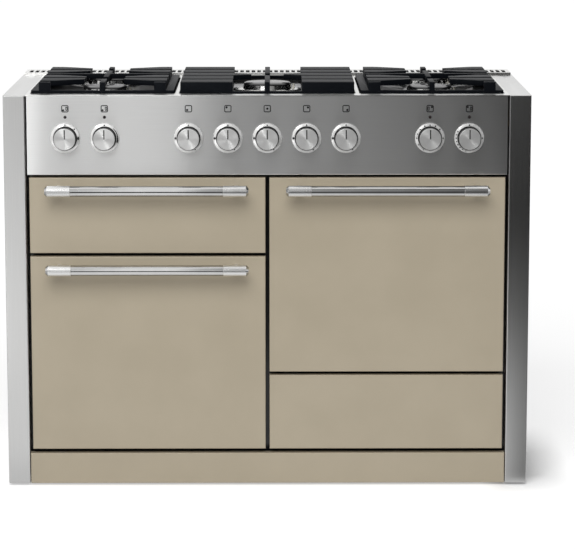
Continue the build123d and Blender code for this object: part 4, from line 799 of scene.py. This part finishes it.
vent_low, vent_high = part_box("rear_vent")
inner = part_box("hob_top")[1].x
hob_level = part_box("hob_top")[1].z
for side, end in (("left", vent_low.x), ("right", vent_high.x)):
    start = math.copysign(inner, end)
    stop = end - math.copysign(SHADE_TRAY_INSET_MM * MM, end)
    bpy.ops.object.select_all(action="DESELECT")
    bpy.ops.mesh.primitive_plane_add(size=1.0)
    shade_tray = bpy.context.active_object
    shade_tray.name = side + "_flue_liner"
    shade_tray.scale = (abs(stop - start), vent_high.y - vent_low.y - 2 * SHADE_TRAY_INSET_MM * MM, 1.0)
    settle(shade_tray, ((start + stop) / 2, (vent_low.y + vent_high.y) / 2, hob_level))
    bpy.ops.object.mode_set(mode="EDIT")
    bpy.ops.mesh.select_mode(type="EDGE")
    bpy.ops.mesh.select_all(action="DESELECT")
    bpy.ops.object.mode_set(mode="OBJECT")
    rear = max(corner.co.y for corner in shade_tray.data.vertices)
    for edge in shade_tray.data.edges:
        edge.select = all(shade_tray.data.vertices[corner].co.y > rear - SHADE_TRAY_MM * MM for corner in edge.vertices)
    bpy.ops.object.mode_set(mode="EDIT")
    bpy.ops.mesh.extrude_region_move(TRANSFORM_OT_translate={"value": (0, 0, SHADE_TRAY_RISE_MM * MM)})
    bpy.ops.object.mode_set(mode="OBJECT")
    plate = shade_tray.modifiers.new("plate", "SOLIDIFY")
    plate.thickness = SHADE_TRAY_MM * MM
    plate.offset = 1.0
    bpy.ops.object.modifier_apply(modifier="plate")
    # the black sheet paints the shade under the slots over the pillars
    shade_tray.data.materials.append(black_enamel)
    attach(shade_tray, body_of(nodes["rear_vent"])[0])
    print(shade_tray.name, len(shade_tray.data.polygons), "faces")

# %% [markdown]
# ## The studio
# A pale floor carries a soft shadow, deepened by painted shade at the right of the cooker. A large softbox
# stands in front, and the rest is an even sky. Steel is a mirror, so it is shaped by what only reflections can
# see. A light path node tells the rays of the camera from those of a mirror, and stage pieces are flat sheets,
# whose grey follows stops along a value.

# %% Helpers for the studio
def seen_by(tree, *rays):
    """One where a ray is of one of the named kinds, and zero elsewhere."""
    path = add_node(tree, "ShaderNodeLightPath")
    total = path.outputs[rays[0]]
    for kind in rays[1:]:
        either = add_node(tree, "ShaderNodeMath", {"operation": "MAXIMUM"})
        tree.links.new(total, either.inputs[0])
        tree.links.new(path.outputs[kind], either.inputs[1])
        total = either.outputs["Value"]
    return total


def sheet(name, size, place, turn=UNTURNED):
    """A flat stage piece, with its place written into its mesh."""
    bpy.ops.object.select_all(action="DESELECT")
    bpy.ops.mesh.primitive_plane_add(size=1.0)
    piece = bpy.context.active_object
    piece.name = name
    piece.scale = (size[0], size[1], 1.0)
    settle(piece, place, turn)
    piece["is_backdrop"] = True
    return piece


def graded(tree, value, low, high, stops):
    """A grey level that follows stops as a value goes from low to high."""
    part = add_node(tree, "ShaderNodeMapRange", None, {"Value": value, "From Min": low, "From Max": high})
    level = add_node(tree, "ShaderNodeValToRGB", None, {"Fac": part.outputs["Result"]})
    ramp = level.color_ramp
    while len(ramp.elements) < len(stops):
        ramp.elements.new(0.5)
    for element, (position, grey) in zip(ramp.elements, stops):
        element.position = position
        element.color = (grey, grey, grey, 1.0)
    return level.outputs["Color"]


print("studio helpers ready")

# %% [markdown]
# ## The floor that the camera sees
# White paint with a little light of its own lets the floor fade into the white of the photograph. The lift
# grows with the distance from the cooker. At the right of the cooker it is taken away, which paints a shadow
# on the floor there, where the photograph has its shadow.

# %% Lay and paint the floor
FLOOR_SIZE = 80.0
LIFT_RANGE = (0.5, 5.0)    # this and the places below are in metres, and stops are (part of the range, level)
LIFT_STOPS = [(0.0, 0.46), (0.1, 0.53), (1.0, 0.75)]
# a painted shadow: at the right of the cooker the floor's lift is taken away
PAINTED_SHADE_X, PAINTED_SHADE_Y = (0.5, 0.74), (-0.36, 0.35)
PAINTED_SHADE_X_STOPS = [(0.0, 0.0), (0.2, 1.0), (0.5, 1.0), (0.95, 0.0)]
PAINTED_SHADE_Y_STOPS = [(0.0, 0.0), (0.25, 1.0), (0.58, 1.0), (1.0, 0.0)]
PAINTED_SHADE_LIFT = 0.0

floor = sheet("studio_floor", (FLOOR_SIZE, FLOOR_SIZE), (0, 0, 0))
floor_paint, floor_tree, floor_shader = start_material("floor_paint", {
    "Base Color": linear("#F4F4F4"), "Roughness": 0.9, "Specular IOR Level": 0.0,
    "Emission Color": linear("#FFFFFF")})
floor.data.materials.append(floor_paint)
spot = add_node(floor_tree, "ShaderNodeTexCoord").outputs["Object"]
length = add_node(floor_tree, "ShaderNodeVectorMath", {"operation": "LENGTH"}, {"Vector": spot})
away = length.outputs["Value"]
floor_spot = add_node(floor_tree, "ShaderNodeSeparateXYZ", None, {"Vector": spot})
# here the lift is taken away at the right of the cooker, which paints the shadow there
shade = add_node(floor_tree, "ShaderNodeMapRange", None, {
    "Value": graded(floor_tree, floor_spot.outputs["Y"], *PAINTED_SHADE_Y, PAINTED_SHADE_Y_STOPS),
    "To Max": graded(floor_tree, floor_spot.outputs["X"], *PAINTED_SHADE_X, PAINTED_SHADE_X_STOPS)})
lift = add_node(floor_tree, "ShaderNodeMapRange", None, {
    "Value": shade.outputs["Result"], "To Max": PAINTED_SHADE_LIFT,
    "To Min": graded(floor_tree, away, *LIFT_RANGE, LIFT_STOPS)})
lifted = add_node(floor_tree, "ShaderNodeMath", {"operation": "MULTIPLY"})
floor_tree.links.new(lift.outputs["Result"], lifted.inputs[0])
floor_tree.links.new(seen_by(floor_tree, "Is Camera Ray", "Is Transmission Ray"), lifted.inputs[1])
floor_tree.links.new(lifted.outputs["Value"], floor_shader.inputs["Emission Strength"])
print("floor:", FLOOR_SIZE, "m, white, with a shade at the right")

# %% [markdown]
# ## The floor that steel sees
# In reflections the floor is bright by the cooker and dark far off, except at the left. That draws the dark
# line along the handles and leaves the left pillar bright. The bright part ends farther to the left and
# beside the cooker, and behind the cooker the floor is an even grey. Each step changes the level on one side
# of an edge.

# %% Light the floor for reflections
MIRRORED_NEAR, MIRRORED_LEFT, MIRRORED_RIGHT = 0.9, 2.05, 0.05
MIRRORED_ASIDE, MIRRORED_BACK = 0.6, 0.55
ASIDE_X, ASIDE_Y = (-2.8, -2.3), (-1.9, -1.4)
ROOM_SLANT, ROOM_EDGE = (1.0, -0.09, 0.0), (-0.56, -0.49)
ROOM_RANGE = (1.6, 1.95)
BACK_Y = (-0.6, -0.1)

slanted = add_node(floor_tree, "ShaderNodeVectorMath", {"operation": "DOT_PRODUCT"}, {"Vector": spot})
slanted.inputs[1].default_value = ROOM_SLANT
FLOOR_STEPS = [    # a value, its edge, and the levels below and above it; None is the level so far
    (floor_spot.outputs["X"], ASIDE_X, MIRRORED_ASIDE, None),
    (floor_spot.outputs["Y"], ASIDE_Y, None, MIRRORED_ASIDE),
    (slanted.outputs["Value"], ROOM_EDGE, None, MIRRORED_RIGHT),
    (away, ROOM_RANGE, MIRRORED_NEAR, None),
    (floor_spot.outputs["Y"], BACK_Y, None, MIRRORED_BACK),
]
glow = MIRRORED_LEFT
for value, (start, stop), below, above in FLOOR_STEPS:
    step = add_node(floor_tree, "ShaderNodeMapRange", None, {
        "Value": value, "From Min": start, "From Max": stop,
        "To Min": glow if below is None else below, "To Max": glow if above is None else above})
    glow = step.outputs["Result"]
mirrored = add_node(floor_tree, "ShaderNodeEmission", None, {"Strength": glow})
choice = add_node(floor_tree, "ShaderNodeMixShader", None, {"Fac": seen_by(floor_tree, "Is Glossy Ray")})
floor_tree.links.new(floor_shader.outputs["BSDF"], choice.inputs[1])
floor_tree.links.new(mirrored.outputs["Emission"], choice.inputs[2])
floor_tree.links.new(choice.outputs["Shader"], floor_tree.nodes["Material Output"].inputs["Surface"])
print("floor in reflections:", len(FLOOR_STEPS), "steps of light")

# %% [markdown]
# ## A dark flag
# A sloping flag in front of the cooker is seen in reflections alone. It grows darker to the right, which
# makes the control panel run from bright to dark as in the photograph. Near the floor only its right end is
# dense. A gradient could be painted on the panel, but a reflection changes with the view, as on real steel.

# %% Hang a dark flag
FLAG_X = (-2.0, 7.0)
FLAG_FOOT, FLAG_HEAD = Vector((0, -0.33, 0.0)), Vector((0, -2.0, 4.5))
FLAG_RANGE = (-0.7, 0.7)
FLAG_STOPS = [(0.0, 0.08), (0.085, 0.06), (0.105, 0.48), (0.14, 0.33), (0.2, 0.15), (0.25, 0.0), (0.34, 0.0),
              (0.39, 0.4), (0.44, 0.55), (0.54, 0.58), (0.9, 0.87), (0.94, 0.94)]
FLAG_FOOT_STOPS = [(0.0, 0.0), (0.87, 0.0), (0.93, 0.74)]
FLAG_TURN = (0.3, 0.6)    # the height over which the foot's stops give way to the others


def for_mirrors(piece):
    """Let a stage piece be seen in reflections alone."""
    piece.visible_camera = False
    piece.visible_diffuse = False
    piece.visible_shadow = False
    piece.visible_transmission = False


slope = FLAG_HEAD - FLAG_FOOT
flag_middle = (FLAG_FOOT + FLAG_HEAD) / 2 + Vector((sum(FLAG_X) / 2, 0, 0))
flag = sheet("dark_flag", (FLAG_X[1] - FLAG_X[0], slope.length), flag_middle,
             (math.atan2(slope.z, slope.y), 0, 0))
flag_cloth, flag_tree, flag_shader = start_material("flag_cloth", {
    "Base Color": linear("#050505"), "Roughness": 1.0, "Specular IOR Level": 0.0})
flag_place = add_node(flag_tree, "ShaderNodeTexCoord").outputs["Object"]
flag_spot = add_node(flag_tree, "ShaderNodeSeparateXYZ", None, {"Vector": flag_place})
density = add_node(flag_tree, "ShaderNodeMapRange", None, {
    "Value": flag_spot.outputs["Z"], "From Min": FLAG_TURN[0], "From Max": FLAG_TURN[1],
    "To Min": graded(flag_tree, flag_spot.outputs["X"], *FLAG_RANGE, FLAG_FOOT_STOPS),
    "To Max": graded(flag_tree, flag_spot.outputs["X"], *FLAG_RANGE, FLAG_STOPS)})
flag_tree.links.new(density.outputs["Result"], flag_shader.inputs["Alpha"])
flag.data.materials.append(flag_cloth)
for_mirrors(flag)
print("flag:", round(slope.length, 3), "m long")

# %% [markdown]
# ## A glint
# A small bright box at the upper left is seen in reflections alone too. The rings of the knob faces smear it
# into a fan.

# %% Set up a glint box
GLINT_LEVEL, GLINT_SIZE = 7.0, 1.2
GLINT_PLACE, GLINT_AIM = Vector((-1.65, -3.3, 3.0)), Vector((0, -0.35, 0.82))

glint_turn = (GLINT_AIM - GLINT_PLACE).to_track_quat("Z", "Y").to_euler()
glint = sheet("glint_box", (GLINT_SIZE, GLINT_SIZE), GLINT_PLACE, glint_turn)
glint_cloth = start_material("glint_cloth", {
    "Base Color": linear("#000000"), "Specular IOR Level": 0.0, "Emission Color": linear("#FFFFFF"),
    "Emission Strength": GLINT_LEVEL})[0]
glint.data.materials.append(glint_cloth)
for_mirrors(glint)
print("glint box:", GLINT_SIZE, "m, level", GLINT_LEVEL)

# %% [markdown]
# ## The softbox
# One large softbox stands high in front, a little to the left, and gives the soft shadows. The floor's shadow
# at the right of the cooker is deepened by painted shade. Mirrors don't see it, because the floor, the flag
# and the glint are there for them.

# %% Set up the softbox
KEY_POWER, KEY_SIZE = 236.0, 3.8    # watts, metres
KEY_PLACE, KEY_AIM = Vector((-0.6, -5.0, 4.4)), Vector((0, 0, 0.4))

key_data = bpy.data.lights.new("softbox", "AREA")
key_data.energy = KEY_POWER
key_data.size = KEY_SIZE
key = bpy.data.objects.new("softbox", key_data)
key.location = KEY_PLACE
key.rotation_euler = (KEY_AIM - KEY_PLACE).to_track_quat("-Z", "Y").to_euler()
bpy.context.scene.collection.objects.link(key)
key.visible_glossy = False
print("softbox:", KEY_POWER, "W,", KEY_SIZE, "m")

# %% [markdown]
# ## The sky
# The sky is white to the camera, bright to mirrors and dim to everything else, so that it only fills the
# shadows.

# %% Light the sky
SKY_LEVEL, MIRRORED_SKY, WHITE_SKY = 0.3, 0.95, 1.0

world = bpy.data.worlds.new("studio_sky")
world.use_nodes = True
bpy.context.scene.world = world
sky_tree = world.node_tree
sky = sky_tree.nodes["Background"]
sky.inputs["Color"].default_value = linear("#FFFFFF")
looked_at = seen_by(sky_tree, "Is Camera Ray", "Is Transmission Ray")
plain_sky = add_node(sky_tree, "ShaderNodeMapRange", None, {
    "Value": looked_at, "To Min": SKY_LEVEL, "To Max": WHITE_SKY})
mirrored_sky = add_node(sky_tree, "ShaderNodeMapRange", None, {
    "Value": seen_by(sky_tree, "Is Glossy Ray"), "To Min": plain_sky.outputs["Result"],
    "To Max": MIRRORED_SKY})
sky_tree.links.new(mirrored_sky.outputs["Result"], sky.inputs["Strength"])
print("sky:", SKY_LEVEL, "for light,", MIRRORED_SKY, "in mirrors")

# %% [markdown]
# ## The size, and the end
# The box of the dressed cooker is measured, leaving out hidden pieces and the stage.

# %% Measure the dressed cooker's box
low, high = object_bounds()
